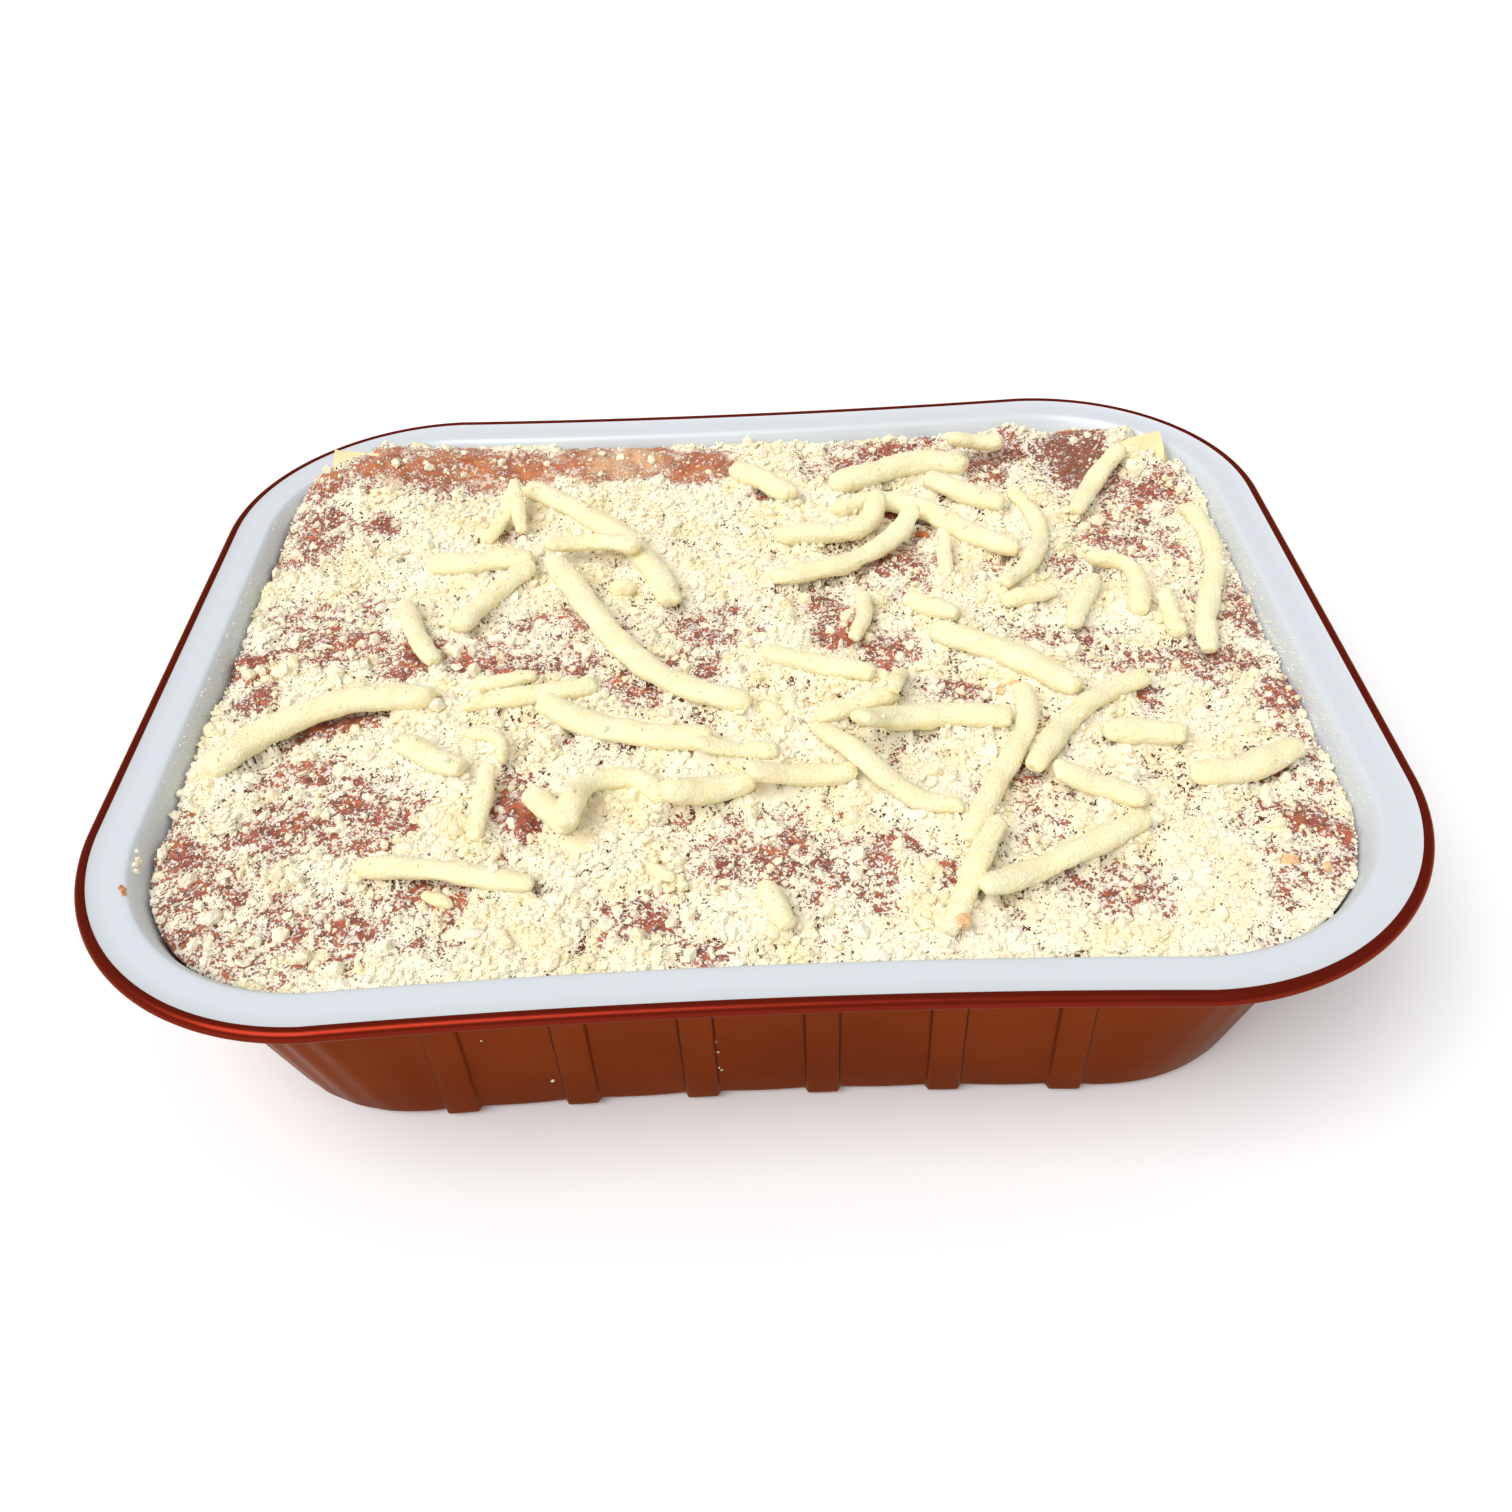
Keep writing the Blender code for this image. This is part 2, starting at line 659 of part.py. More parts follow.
def main():
    clear_scene()
    meal = make_collection("foil_tray_lasagne")
    coating = make_material("lacquer_brown", (0.17, 0.035, 0.012), 0.38, 0.5)
    lining = make_material("lining_pale", (0.66, 0.70, 0.74), 0.42, 0.4)
    filling = make_material("filling_layers", (0.45, 0.16, 0.07), 0.6)
    pasta = make_material("pasta_dry", (0.80, 0.60, 0.28), 0.5)
    sauce = make_material("meat_sauce_red", (0.24, 0.045, 0.022), 0.5)
    hard_cheese = make_material("hard_cheese_cream", (0.86, 0.79, 0.62), 0.8)
    mozzarella = make_material("mozzarella_pale", (0.92, 0.86, 0.60), 0.6)
    tray = build_tray(meal, coating, lining)
    placed = [tray, build_filling(meal, filling), build_pasta(meal, pasta)]
    placed += [build_sauce(meal, sauce), build_cheese(meal, hard_cheese)]
    for index, row in enumerate(SHREDS):
        placed.append(build_shred(index, row, placed, meal, mozzarella))
    for item in placed[1:]:
        shade_soft(item)


main()
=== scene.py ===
# %% [markdown]
# # A foil tray lasagne, ready for the oven
#
# The solids of this meal already exist: a tray, its filling, a sheet of pasta, a layer of meat sauce, a
# bed of grated cheese and the mozzarella shreds. This notebook gives them their looks. Each step first
# says what the real thing is, how it could be made in Blender, and why it is made this way here.

# %% Load the solids
from math import cos, pi, radians, sin

import bmesh
import bpy
import numpy as np
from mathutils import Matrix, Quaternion, Vector
from mathutils.bvhtree import BVHTree


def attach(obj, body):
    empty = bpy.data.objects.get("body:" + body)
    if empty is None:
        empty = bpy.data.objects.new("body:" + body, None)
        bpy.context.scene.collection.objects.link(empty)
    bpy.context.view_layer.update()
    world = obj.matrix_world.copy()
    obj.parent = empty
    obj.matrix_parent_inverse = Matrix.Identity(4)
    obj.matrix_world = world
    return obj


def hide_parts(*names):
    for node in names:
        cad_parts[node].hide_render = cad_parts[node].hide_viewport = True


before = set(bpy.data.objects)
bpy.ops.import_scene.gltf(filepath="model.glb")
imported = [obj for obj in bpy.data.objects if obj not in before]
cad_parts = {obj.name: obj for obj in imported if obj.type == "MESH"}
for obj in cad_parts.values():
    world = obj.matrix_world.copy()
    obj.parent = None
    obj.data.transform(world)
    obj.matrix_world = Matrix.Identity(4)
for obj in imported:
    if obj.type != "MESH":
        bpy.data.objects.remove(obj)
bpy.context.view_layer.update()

MM = 0.001

# %% [markdown]
# ## Sizes
#
# All sizes are in millimetres. The tray's are those of the solid, so that the finished tray lies exactly
# where the solid is.

# %% Sizes of the tray and of the food's surface
RIM_LENGTH = 160.0
RIM_WIDTH = 131.4
HEIGHT = 34.6
RIM_CORNER = 32.5
FLANGE_WIDTH = 6.4
MOUTH_CORNER = 25.2
SIDE_BOW = 1.3
END_TAPER = 8.6
SIDE_TAPER = 7.9
BASE_CORNER = 21.7
BASE_EDGE = 2.0
FOIL = 0.5
BEAD_RADIUS = 0.9
FLANGE_DROP = 0.35
RIB_PITCH_BASE = 15.1
RIB_PITCH_RIM = 14.2
RIB_HEIGHT = 0.8

SURFACE_DROP = 2.7
SURFACE_DOME = 2.5
PASTA_LEFT = -65.5
PASTA_RIGHT = 68.0
PASTA_FRONT = -46.0
PASTA_BACK_LEFT = 52.5
PASTA_BACK_RIGHT = 48.4
PASTA_TOP = 3.65
LEFT_CORNER_LIFT = 6.2
RIGHT_CORNER_LIFT = 4.4
CORNER_REACH = 20.0
EDGE_LIFT = 2.2
EDGE_REACH_X = 74.0
EDGE_REACH_Y = 24.0
CLEARANCE = 0.45

# %% [markdown]
# ## Small helpers
#
# An operator acts on what is selected, in the mode that Blender is in. So each step first goes back to
# object mode with nothing selected. The points of a mesh are read and written all at once, as one array,
# because the food's sheets have tens of thousands of them.

# %% Small helpers for objects
def start_clean():
    """Go to object mode with nothing selected, as an operator acts on all that is selected."""
    if bpy.context.mode != "OBJECT":
        bpy.ops.object.mode_set(mode="OBJECT")
    bpy.ops.object.select_all(action="DESELECT")


def pick(piece):
    start_clean()
    piece.select_set(True)
    bpy.context.view_layer.objects.active = piece


def read_points(piece):
    points = np.zeros(len(piece.data.vertices) * 3, np.float32)
    piece.data.vertices.foreach_get("co", points)
    return points.reshape(-1, 3).astype(float)


def write_points(piece, points):
    piece.data.vertices.foreach_set("co", np.asarray(points, np.float32).ravel())
    piece.data.update()


def finish_piece(piece, name, material, nodes=()):
    """Name the piece, give it its material and let it stand for the solids it replaces."""
    piece.name = name
    piece.data.name = name
    if material:
        piece.data.materials.clear()
        piece.data.materials.append(material)
    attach(piece, "root")
    if nodes:
        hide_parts(*nodes)
    print(name, "has", len(piece.data.polygons), "faces")


# %% [markdown]
# ## A small language for materials
#
# A material is a graph of nodes. Drawing it by hand is slow to read in code, so one small class wraps a
# socket, and arithmetic on it adds the Math nodes. Every other node comes from one method.

# %% Material helpers
class Wire:
    """An output socket that can be used in arithmetic."""

    def __init__(self, finish, socket):
        self.finish = finish
        self.socket = socket

    def maths(self, operation, *values):
        return self.finish.node("ShaderNodeMath", {"operation": operation}, dict(enumerate(values)))

    def __add__(self, other):
        return self.maths("ADD", self, other)

    def __radd__(self, other):
        return self.maths("ADD", other, self)

    def __rsub__(self, other):
        return self.maths("SUBTRACT", other, self)

    def __mul__(self, other):
        return self.maths("MULTIPLY", self, other)

    def between(self, low, high):
        """0 below low, 1 above high and a smooth step in between."""
        settings = {"interpolation_type": "SMOOTHSTEP"}
        sockets = {"Value": self, "From Min": low, "From Max": high}
        return self.finish.node("ShaderNodeMapRange", settings, sockets)


class Finish:
    """A material in the making, with its shader and its tree."""

    def __init__(self, name, **values):
        self.material = bpy.data.materials.new(name)
        self.material.use_nodes = True
        self.tree = self.material.node_tree
        self.shader = self.tree.nodes["Principled BSDF"]
        for socket, value in values.items():
            self.shader.inputs[socket.replace("_", " ")].default_value = value

    def node(self, kind, settings=None, sockets=None, output=0):
        made = self.tree.nodes.new(kind)
        for key, value in (settings or {}).items():
            setattr(made, key, value)
        for key, value in (sockets or {}).items():
            if isinstance(value, Wire):
                self.tree.links.new(value.socket, made.inputs[key])
            else:
                made.inputs[key].default_value = value
        return Wire(self, made.outputs[output])

    def place(self):
        return self.node("ShaderNodeTexCoord", output="Object")

    def noise(self, size, detail=2.0, roughness=0.5, place=None):
        """Noise whose features are about this many millimetres wide."""
        sockets = {
            "Vector": place or self.place(),
            "Scale": 1 / (size * MM),
            "Detail": detail,
            "Roughness": roughness,
        }
        return self.node("ShaderNodeTexNoise", None, sockets)

    def attribute(self, name):
        return self.node("ShaderNodeAttribute", {"attribute_name": name}, output="Fac")

    def mix(self, share, first, second):
        sockets = {"Factor": share, 6: first, 7: second}
        return self.node("ShaderNodeMix", {"data_type": "RGBA"}, sockets, output=2)

    def bump(self, height, strength, distance):
        sockets = {"Height": height, "Strength": strength, "Distance": distance * MM}
        return self.node("ShaderNodeBump", None, sockets)

    def feed(self, **sockets):
        for key, value in sockets.items():
            self.tree.links.new(value.socket, self.shader.inputs[key.replace("_", " ")])
        return self.material


def colour(red, green, blue):
    """A colour given as on a screen, from 0 to 255, as the shader's linear values."""
    linear = []
    for level in (red, green, blue):
        level /= 255
        linear.append(level / 12.92 if level <= 0.04045 else ((level + 0.055) / 1.055) ** 2.4)
    return (*linear, 1.0)


# %% [markdown]
# ## The tray's coating and lining
#
# The foil is lacquered: copper brown outside, redder on the rolled bead, and a pale blue grey inside.
# Both coats are thin and half glossy over metal. The bead's red could be a material of its own, but the
# two brown tones run into each other, so one material mixes them by height. Fine noise in the roughness
# and a low bump give the slightly uneven sheen of pressed foil.

# %% Lacquer finishes
BEAD_TINT_FROM = 32.2
BEAD_TINT_TO = 33.4


def lacquer(name, base, shade, rim, edge, roughness, metallic, waviness):
    finish = Finish(name, Metallic=metallic, Specular_IOR_Level=0.3, Specular_Tint=edge)
    cloud = finish.noise(18, 3)
    grain = finish.noise(0.5, 2)
    height = finish.noise(7, 2) + grain * 0.04
    level = finish.node("ShaderNodeSeparateXYZ", None, {"Vector": finish.place()}, output=2)
    wall = finish.mix(cloud.between(0.3, 0.7), base, shade)
    return finish.feed(
        Base_Color=finish.mix(level.between(BEAD_TINT_FROM * MM, BEAD_TINT_TO * MM), wall, rim),
        Roughness=roughness + cloud * 0.08 + grain * 0.05,
        Normal=finish.bump(height, waviness, 0.4),
    )


COPPER_EDGE = colour(217, 193, 180)
WHITE_EDGE = colour(255, 255, 255)
BROWN = colour(130, 54, 21)
BROWN_SHADE = colour(117, 45, 15)
RED_BROWN = colour(122, 34, 20)
PALE = colour(215, 221, 226)
PALE_SHADE = colour(208, 214, 219)
coating = lacquer("lacquer_brown", BROWN, BROWN_SHADE, RED_BROWN, COPPER_EDGE, 0.25, 0.9, 0.25)
lining = lacquer("lining_pale", PALE, PALE_SHADE, PALE, WHITE_EDGE, 0.34, 0.1, 0.15)
print("finishes:", coating.name, lining.name)

# %% [markdown]
# ## The tray
#
# A real foil tray is pressed from one flat sheet. It is made the same way here: a grid is one sheet, its
# columns run round the tray and its rows run from the middle of the base, up the outside, round the
# rolled bead and down the inside. Placing the rows by the tray's own sizes keeps the ribs and the bead
# exact.

# %% Where the sheet's columns stand round the tray
RIB_SECTION = ((-2.4, 0), (-2.2, 0.12), (-2.05, 0.5), (-1.9, 0.88), (-1.7, 1), (-0.6, 1.03),
               (0.6, 1.03), (1.7, 1), (1.9, 0.88), (2.05, 0.5), (2.2, 0.12), (2.4, 0))
RIB_HALF_WIDTH = 2.4
LONG_SIDE_RIBS = 6
SHORT_SIDE_RIBS = 4
PANEL_STEPS = (0.25, 0.5, 0.75)
PANEL_PILLOW = 0.22
END_STEPS = (0.33, 0.66)
CORNER_STEPS = 42
FLUTES = 8
FRONT_LEFT_CORNER = 3
FAINT_FLUTES = 0.25


def side_columns(half_straight, ribs, pitch):
    """Places along one side with the share of the rib's height there."""
    first = -(ribs - 1) / 2 * pitch - RIB_HALF_WIDTH
    before = [-half_straight + (first + half_straight) * step for step in END_STEPS]
    columns = [(-half_straight, 0)]
    columns += [(place, PANEL_PILLOW * 0.5) for place in before]
    for index in range(ribs):
        middle = (index - (ribs - 1) / 2) * pitch
        columns += [(middle + offset, raised) for offset, raised in RIB_SECTION]
        if index < ribs - 1:
            start = middle + RIB_HALF_WIDTH
            gap = pitch - 2 * RIB_HALF_WIDTH
            columns += [(start + gap * step, PANEL_PILLOW * sin(pi * step)) for step in PANEL_STEPS]
    last = -first
    after = [last + (half_straight - last) * (1 - step) for step in reversed(END_STEPS)]
    columns += [(place, PANEL_PILLOW * 0.5) for place in after]
    columns.append((half_straight, 0))
    return columns


def tray_outline(half_x, half_y, corner, z, rib=0.0, flute=0.0):
    """One level outline, anticlockwise from the front side's left end."""
    pitch = RIB_PITCH_BASE + (RIB_PITCH_RIM - RIB_PITCH_BASE) * z / HEIGHT
    straight = (half_x - corner, half_y - corner)
    outline = []
    for quarter in range(4):
        turn = quarter * pi / 2
        long_side = quarter % 2 == 0
        along, across = straight if long_side else reversed(straight)
        ribs = LONG_SIDE_RIBS if long_side else SHORT_SIDE_RIBS
        for place, raised in side_columns(along, ribs, pitch):
            bow = SIDE_BOW * max(0.0, 1 - (place / straight[0]) ** 2) if long_side else 0.0
            outline.append((place, -(across + corner - bow + rib * RIB_HEIGHT * raised), turn))
        depth = flute * (1.0 if quarter == FRONT_LEFT_CORNER else FAINT_FLUTES)
        for step in range(1, CORNER_STEPS):
            angle = (step / CORNER_STEPS - 1) * pi / 2
            wave = sin(2 * pi * FLUTES * step / CORNER_STEPS) * sin(pi * step / CORNER_STEPS) ** 0.5
            reach = corner + depth * wave
            outline.append((along + reach * cos(angle), -across + reach * sin(angle), turn))
    return [(x * cos(turn) - y * sin(turn), x * sin(turn) + y * cos(turn), z) for x, y, turn in outline]


def wall_size(z, outwards=0.0):
    """Half length, half width and corner radius of the wall's inner face at a height."""
    share = min(z, HEIGHT) / HEIGHT
    half_x = RIM_LENGTH / 2 - FLANGE_WIDTH - END_TAPER * (1 - share)
    half_y = RIM_WIDTH / 2 - FLANGE_WIDTH - SIDE_TAPER * (1 - share)
    corner = BASE_CORNER + (MOUTH_CORNER - BASE_CORNER) * share
    return half_x + outwards, half_y + outwards, corner + outwards


def flange_outline(inset, z):
    """One level outline on the flange or the bead, this far in from the rim."""
    share = min(1.0, inset / FLANGE_WIDTH)
    corner = RIM_CORNER + (MOUTH_CORNER - RIM_CORNER) * share
    return tray_outline(RIM_LENGTH / 2 - inset, RIM_WIDTH / 2 - inset, corner, z)


# %% The rows of the sheet, from the base's middle to the floor's middle
FLUTE_DEPTH = 0.28
FLANGE_TOP = HEIGHT - FLANGE_DROP
INNER_ROUND = 0.7
TOWARDS_MIDDLE = (0.05, 0.5, 0.9)

# Heights on the outside of the wall, with the share of the ribs' own height there. The ribs run out below
# the bead.
WALL_LEVELS = (
    (8, 1), (14, 1), (20, 1), (26, 1), (29.5, 1), (30.8, 0.92), (31.8, 0.6), (32.6, 0.25), (33.2, 0.05),
)


def shrink(outline, scale):
    return [(x * scale, y * scale, z) for x, y, z in outline]


outside = []
for angle in range(0, 91, 15):
    inset = BASE_EDGE * (1 - sin(radians(angle)))
    level = BASE_EDGE * (1 - cos(radians(angle)))
    outside.append(tray_outline(*wall_size(level, FOIL - inset), level, 1.0, FLUTE_DEPTH * 0.2 * angle / 90))
outside = [shrink(outside[0], scale) for scale in TOWARDS_MIDDLE] + outside
for level, rib in WALL_LEVELS:
    depth = FLUTE_DEPTH * min(rib, 0.2 + level / 25)
    outside.append(tray_outline(*wall_size(level, FOIL), level, rib, depth))
outside.append(tray_outline(*wall_size(FLANGE_TOP - FOIL, FOIL + 0.25), FLANGE_TOP - FOIL - 0.1))
outside.append(tray_outline(*wall_size(FLANGE_TOP - FOIL, FOIL + 0.8), FLANGE_TOP - FOIL))
for angle in range(215, 503, 18):
    inset = BEAD_RADIUS * (1 - cos(radians(angle)))
    outside.append(flange_outline(inset, HEIGHT - BEAD_RADIUS * (1 - sin(radians(angle)))))
inside = [flange_outline(inset, FLANGE_TOP) for inset in (1.75, 3.4, 5.0)]
for angle in (0, 22, 45, 68, 90):
    inset = FLANGE_WIDTH - INNER_ROUND * (1 - sin(radians(angle)))
    level = FLANGE_TOP - INNER_ROUND * (1 - cos(radians(angle)))
    inside.append(flange_outline(inset, level) if angle < 90 else tray_outline(*wall_size(level), level))
for level in (28, 20, 12, 6):
    inside.append(tray_outline(*wall_size(level), level))
for angle in (90, 60, 30, 0):
    inset = BASE_EDGE * (1 - sin(radians(angle)))
    level = FOIL + BASE_EDGE * (1 - cos(radians(angle)))
    inside.append(tray_outline(*wall_size(level, -inset), level))
floor_edge = inside[-1]
inside += [shrink(floor_edge, scale) for scale in reversed(TOWARDS_MIDDLE)]
rows = outside + inside
print("the tray's sheet has", len(rows), "rows of", len(rows[0]), "columns")

# %% [markdown]
# ## Pressing the sheet
#
# The grid starts flat, with one point for each place worked out above. Its points are moved there all at
# once, the seam is merged, the two small holes in the middles are filled, and the rows of the inside get
# the pale lining.

# %% Press the sheet into the tray
start_clean()
columns = len(rows[0])
bpy.ops.mesh.primitive_grid_add(x_subdivisions=columns, y_subdivisions=len(rows) - 1, size=1)
tray = bpy.context.object
pressed = [row + row[:1] for row in rows]
write_points(tray, np.array(pressed).reshape(-1, 3) * MM)
tray.data.materials.append(coating)
tray.data.materials.append(lining)
lined = np.repeat(np.arange(len(rows) - 1) >= len(outside) - 1, columns)
tray.data.polygons.foreach_set("material_index", lined.astype(np.int32))
bpy.ops.object.mode_set(mode="EDIT")
bpy.ops.mesh.select_all(action="SELECT")
bpy.ops.mesh.remove_doubles(threshold=0.00001)
bpy.ops.mesh.select_all(action="DESELECT")
bpy.ops.mesh.select_non_manifold()
bpy.ops.mesh.fill_holes(sides=0)
bpy.ops.mesh.select_all(action="SELECT")
bpy.ops.mesh.normals_make_consistent(inside=False)
bpy.ops.object.mode_set(mode="OBJECT")
bpy.ops.object.shade_smooth()
finish_piece(tray, "foil_tray", None, ["tray"])

# %% [markdown]
# ## The food's surface
#
# The meal has one visible surface, a low dome that the pasta's two back corners lift. It could be
# sculpted, but a height worked out from the place keeps the solids and the looks together. The sauce, the
# cheese and everything scattered on them are placed against this one height, as the solids are.

# %% Height of the food and distance from the wall
NOISE_TABLE = 256
TABLE_START = 500


def food_height(x, y):
    half_x, half_y, _ = wall_size(HEIGHT)
    dome = np.maximum(0, 1 - (x / half_x) ** 2) * np.maximum(0, 1 - (y / half_y) ** 2)
    rise = 0
    left = (PASTA_LEFT, PASTA_BACK_LEFT, LEFT_CORNER_LIFT)
    right = (PASTA_RIGHT, PASTA_BACK_RIGHT, RIGHT_CORNER_LIFT)
    for corner_x, corner_y, lift in (left, right):
        away = np.hypot(x - corner_x, y - corner_y) / CORNER_REACH
        rise = rise + lift * np.maximum(0, 1 - away) ** 1.4
    away = np.hypot((x - PASTA_LEFT) / EDGE_REACH_X, (y - PASTA_BACK_LEFT) / EDGE_REACH_Y)
    rise = rise + EDGE_LIFT * np.maximum(0, 1 - away)
    return HEIGHT - SURFACE_DROP + SURFACE_DOME * dome + rise


def inside_wall(x, y):
    """How far inside the tray's mouth a place is, in millimetres."""
    half_x, half_y, corner = wall_size(HEIGHT - 1, -CLEARANCE)
    bow = SIDE_BOW * np.maximum(0, 1 - (x / (half_x - corner)) ** 2)
    past_x = np.abs(x) - (half_x - corner)
    past_y = np.abs(y) + bow - (half_y - corner)
    outer = np.hypot(np.maximum(past_x, 0), np.maximum(past_y, 0))
    outer = outer + np.minimum(np.maximum(past_x, past_y), 0)
    return corner - outer


def soft_noise(x, y, size, seed):
    """Smooth random values from -1 to 1 whose features are about this size."""
    table = np.random.default_rng(seed).uniform(-1, 1, (NOISE_TABLE, NOISE_TABLE))
    across, up = x / size + TABLE_START, y / size + TABLE_START
    column, row = np.floor(across).astype(int), np.floor(up).astype(int)
    across, up = across - column, up - row
    across, up = across * across * (3 - 2 * across), up * up * (3 - 2 * up)
    next_column, next_row = (column + 1) % NOISE_TABLE, (row + 1) % NOISE_TABLE
    column, row = column % NOISE_TABLE, row % NOISE_TABLE
    near = table[column, row] * (1 - across) + table[next_column, row] * across
    far = table[column, next_row] * (1 - across) + table[next_column, next_row] * across
    return near * (1 - up) + far * up


def smooth_step(value, low, high):
    """0 below low, 1 above high and a smooth step in between."""
    share = np.clip((value - low) / (high - low), 0, 1)
    return share * share * (3 - 2 * share)


def pasta_tip(x, y):
    """1 at the pasta's two lifted tips, where no sauce or cheese lies, and 0 away from them."""
    ragged = 0.16 * soft_noise(x, y, 2.2, 9)
    left = np.abs(x - PASTA_LEFT) / 9.0 + np.abs(y - PASTA_BACK_LEFT) / 5.5
    right = np.abs(x - PASTA_RIGHT) / 6.5 + np.abs(y - PASTA_BACK_RIGHT) / 5.5
    return 1 - smooth_step(np.minimum(left, right) + ragged, 0.75, 1.1)


def pasta_edge(x, y):
    """1 along the left part of the pasta's back edge, which stands up along the tray's wall."""
    along = x - PASTA_LEFT
    back = PASTA_BACK_LEFT + along / (PASTA_RIGHT - PASTA_LEFT) * (PASTA_BACK_RIGHT - PASTA_BACK_LEFT)
    ragged = 0.5 * soft_noise(x, y, 2.6, 10)
    return (1 - smooth_step(back - y + ragged, 0.3, 1.5)) * (1 - smooth_step(along, 16, 46))


# %% [markdown]
# ## How well the cheese covers the sauce
#
# The cheese was shaken on by hand, so it lies thick in some places and leaves the sauce bare in others.
# Noise alone would make such patches, but not where they are on this meal, so they are listed.
# Each entry below is one bare place: its middle, its half sizes and how bare it is. The field made from
# them, with noise at its edges, steers the sauce's shape, the powder film, and where grains fall.

# %% Bare places
BARE_PLACES = (
    (-58, 50, 7, 6, 0.85), (-46, 50, 8, 7, 1.0), (-36, 50, 7, 7, 1.0), (-26, 51, 7, 6, 1.0),
    (-16, 51, 7, 5.5, 0.95), (-6, 49, 6, 6, 1.0), (-67, 45, 4, 3.5, 0.65), (-66, 34, 6, 7, 0.8),
    (-57, 36, 3.5, 3, 0.7), (-43, 42, 6, 3, 0.5), (-34, 33, 3, 4, 0.6), (-72, 27, 3, 3, 0.65),
    (-61, 13, 9, 5.5, 0.65), (-70, 2, 4.5, 4.5, 0.95), (-67, -6, 4.5, 4.5, 0.9), (-73, -10, 2.5, 4, 0.8),
    (-56, 4, 9, 5, 0.7), (-45, 0, 6, 6, 0.75), (-34, -1, 8, 5, 0.7), (-27, 6, 7, 4.5, 0.65),
    (-21, -2, 4, 4, 0.7), (-15, -8, 4, 4, 0.5), (-5, 4, 6, 5.5, 0.8), (-7, -5, 4.5, 4.5, 0.8),
    (5, 38, 4, 3.5, 0.7), (12, 4, 4.5, 6.5, 0.95), (19, -3, 4, 5, 0.8), (24, 17, 6, 7, 0.75),
    (27, 26, 2.5, 4.5, 0.8), (23, 32, 3, 2.5, 0.75), (38, 16, 4, 3, 0.65), (47, 16, 5, 3, 0.65),
    (40, -1, 9, 3.5, 0.6), (59, 31, 8, 12, 0.7), (64, 22, 5, 7, 0.7), (66, 38, 5, 5, 0.6),
    (53, 24, 3, 3, 0.6), (69, 5, 4.5, 7, 0.8), (58, -6, 11, 4, 0.65), (71, -15, 4, 5, 1.0),
    (70, -24, 3, 4, 0.6), (28, -13, 3, 3, 0.75), (52, -14, 2.5, 2.5, 0.75), (35, -34, 5, 5, 0.55),
    (66, -30, 5.5, 3, 0.85), (67, -37, 4.5, 4.5, 0.8), (65, -45, 6, 5, 0.75), (44, -48, 6.5, 4, 0.6),
    (0, -40, 9, 5.5, 0.75), (15, -41, 8, 5, 0.7), (22, -45, 3, 3.5, 0.8), (11, -46, 7, 3, 0.6),
    (-12, -48, 5, 3.5, 0.55), (-5, -54, 3, 1.5, 0.6), (-46, -30, 6.5, 5.5, 0.6), (-56, -32, 6, 3.5, 0.65),
    (-29, -29, 3, 6, 0.95), (-56, -22, 4.5, 4, 0.85), (-55, -13, 7, 3, 0.95), (-71, -33, 4, 7, 0.8),
    (-67, -41, 5, 4.5, 0.8), (-64, -50, 6, 4.5, 0.7), (-47, -48, 9, 5, 0.7), (-37, -44, 6, 2, 0.6),
    (-58, -44, 6, 4, 0.5), (-58, -52, 5, 4, 0.75), (16, 47, 6, 5, 0.95), (26, 52, 8, 7, 0.95),
    (40, 44, 5, 6, 0.8), (44, 55, 6, 6, 0.8), (54, 48, 6, 9, 1.0), (-52, -54, 9, 3, 0.6),
)


def bareness(x, y):
    """1 in the middle of the barest places and 0 away from them all."""
    warp_x = x + 1.6 * soft_noise(x, y, 4.5, 1) + 0.7 * soft_noise(x, y, 1.7, 2)
    warp_y = y + 1.6 * soft_noise(x, y, 4.5, 3) + 0.7 * soft_noise(x, y, 1.7, 4)
    bare = np.zeros_like(x)
    for place_x, place_y, half_x, half_y, amount in BARE_PLACES:
        away = np.hypot((warp_x - place_x) / half_x, (warp_y - place_y) / half_y)
        bare = np.maximum(bare, amount * (1 - smooth_step(away, 0.2, 1.7)))
    return bare


def cheese_cover(x, y):
    """1 where the cheese lies thick and 0 where the sauce is bare."""
    uneven = 0.18 * soft_noise(x, y, 7, 5) + 0.22 * soft_noise(x, y, 2.6, 6) + 0.2 * soft_noise(x, y, 1.2, 7)
    return np.clip(0.76 - bareness(x, y) * 0.7 + uneven, 0, 1)


print("bare places:", len(BARE_PLACES))

# %% [markdown]
# ## Where the food differs from the plain dome
#
# The sauce creeps up the tray's back wall, lies a little flatter at the back left corner, and dips under
# the two bare tips of the pasta. At the back it has browned to an orange band on the left, and on the right
# a darker brown patch is painted shade of the fold beside the lump at the back wall. Each is a small
# function of the place, so that the sauce, the cheese and the grains can all ask it.

# %% The back wall, the tips and the browned places
BACK_RISE = 0.9
LEFT_CORNER_DROP = 1.8
LEFT_TIP_FALL = 2.1
RIGHT_TIP_FALL = 3.6


def surface_height(x, y):
    """The food's height, a little higher along the back wall and flatter at the back left corner."""
    corner = np.maximum(0, 1 - np.hypot(x - PASTA_LEFT, y - PASTA_BACK_LEFT) / CORNER_REACH) ** 1.4
    return food_height(x, y) + BACK_RISE * smooth_step(y, 47, 54) - LEFT_CORNER_DROP * corner


def tip_fall(x, y):
    """How far the sauce and the cheese dip under the pasta's bare tips."""
    return np.where(x < 0, LEFT_TIP_FALL, RIGHT_TIP_FALL) * pasta_tip(x, y)


def fold_shade_patch(x, y):
    """1 in the patch of painted shade in the fold beside the lump at the back, right of the middle."""
    away = np.hypot((x - 52) / 7, (y - 46) / 9) + 0.4 * soft_noise(x, y, 2, 14)
    return 1 - smooth_step(away, 0.6, 1.3)


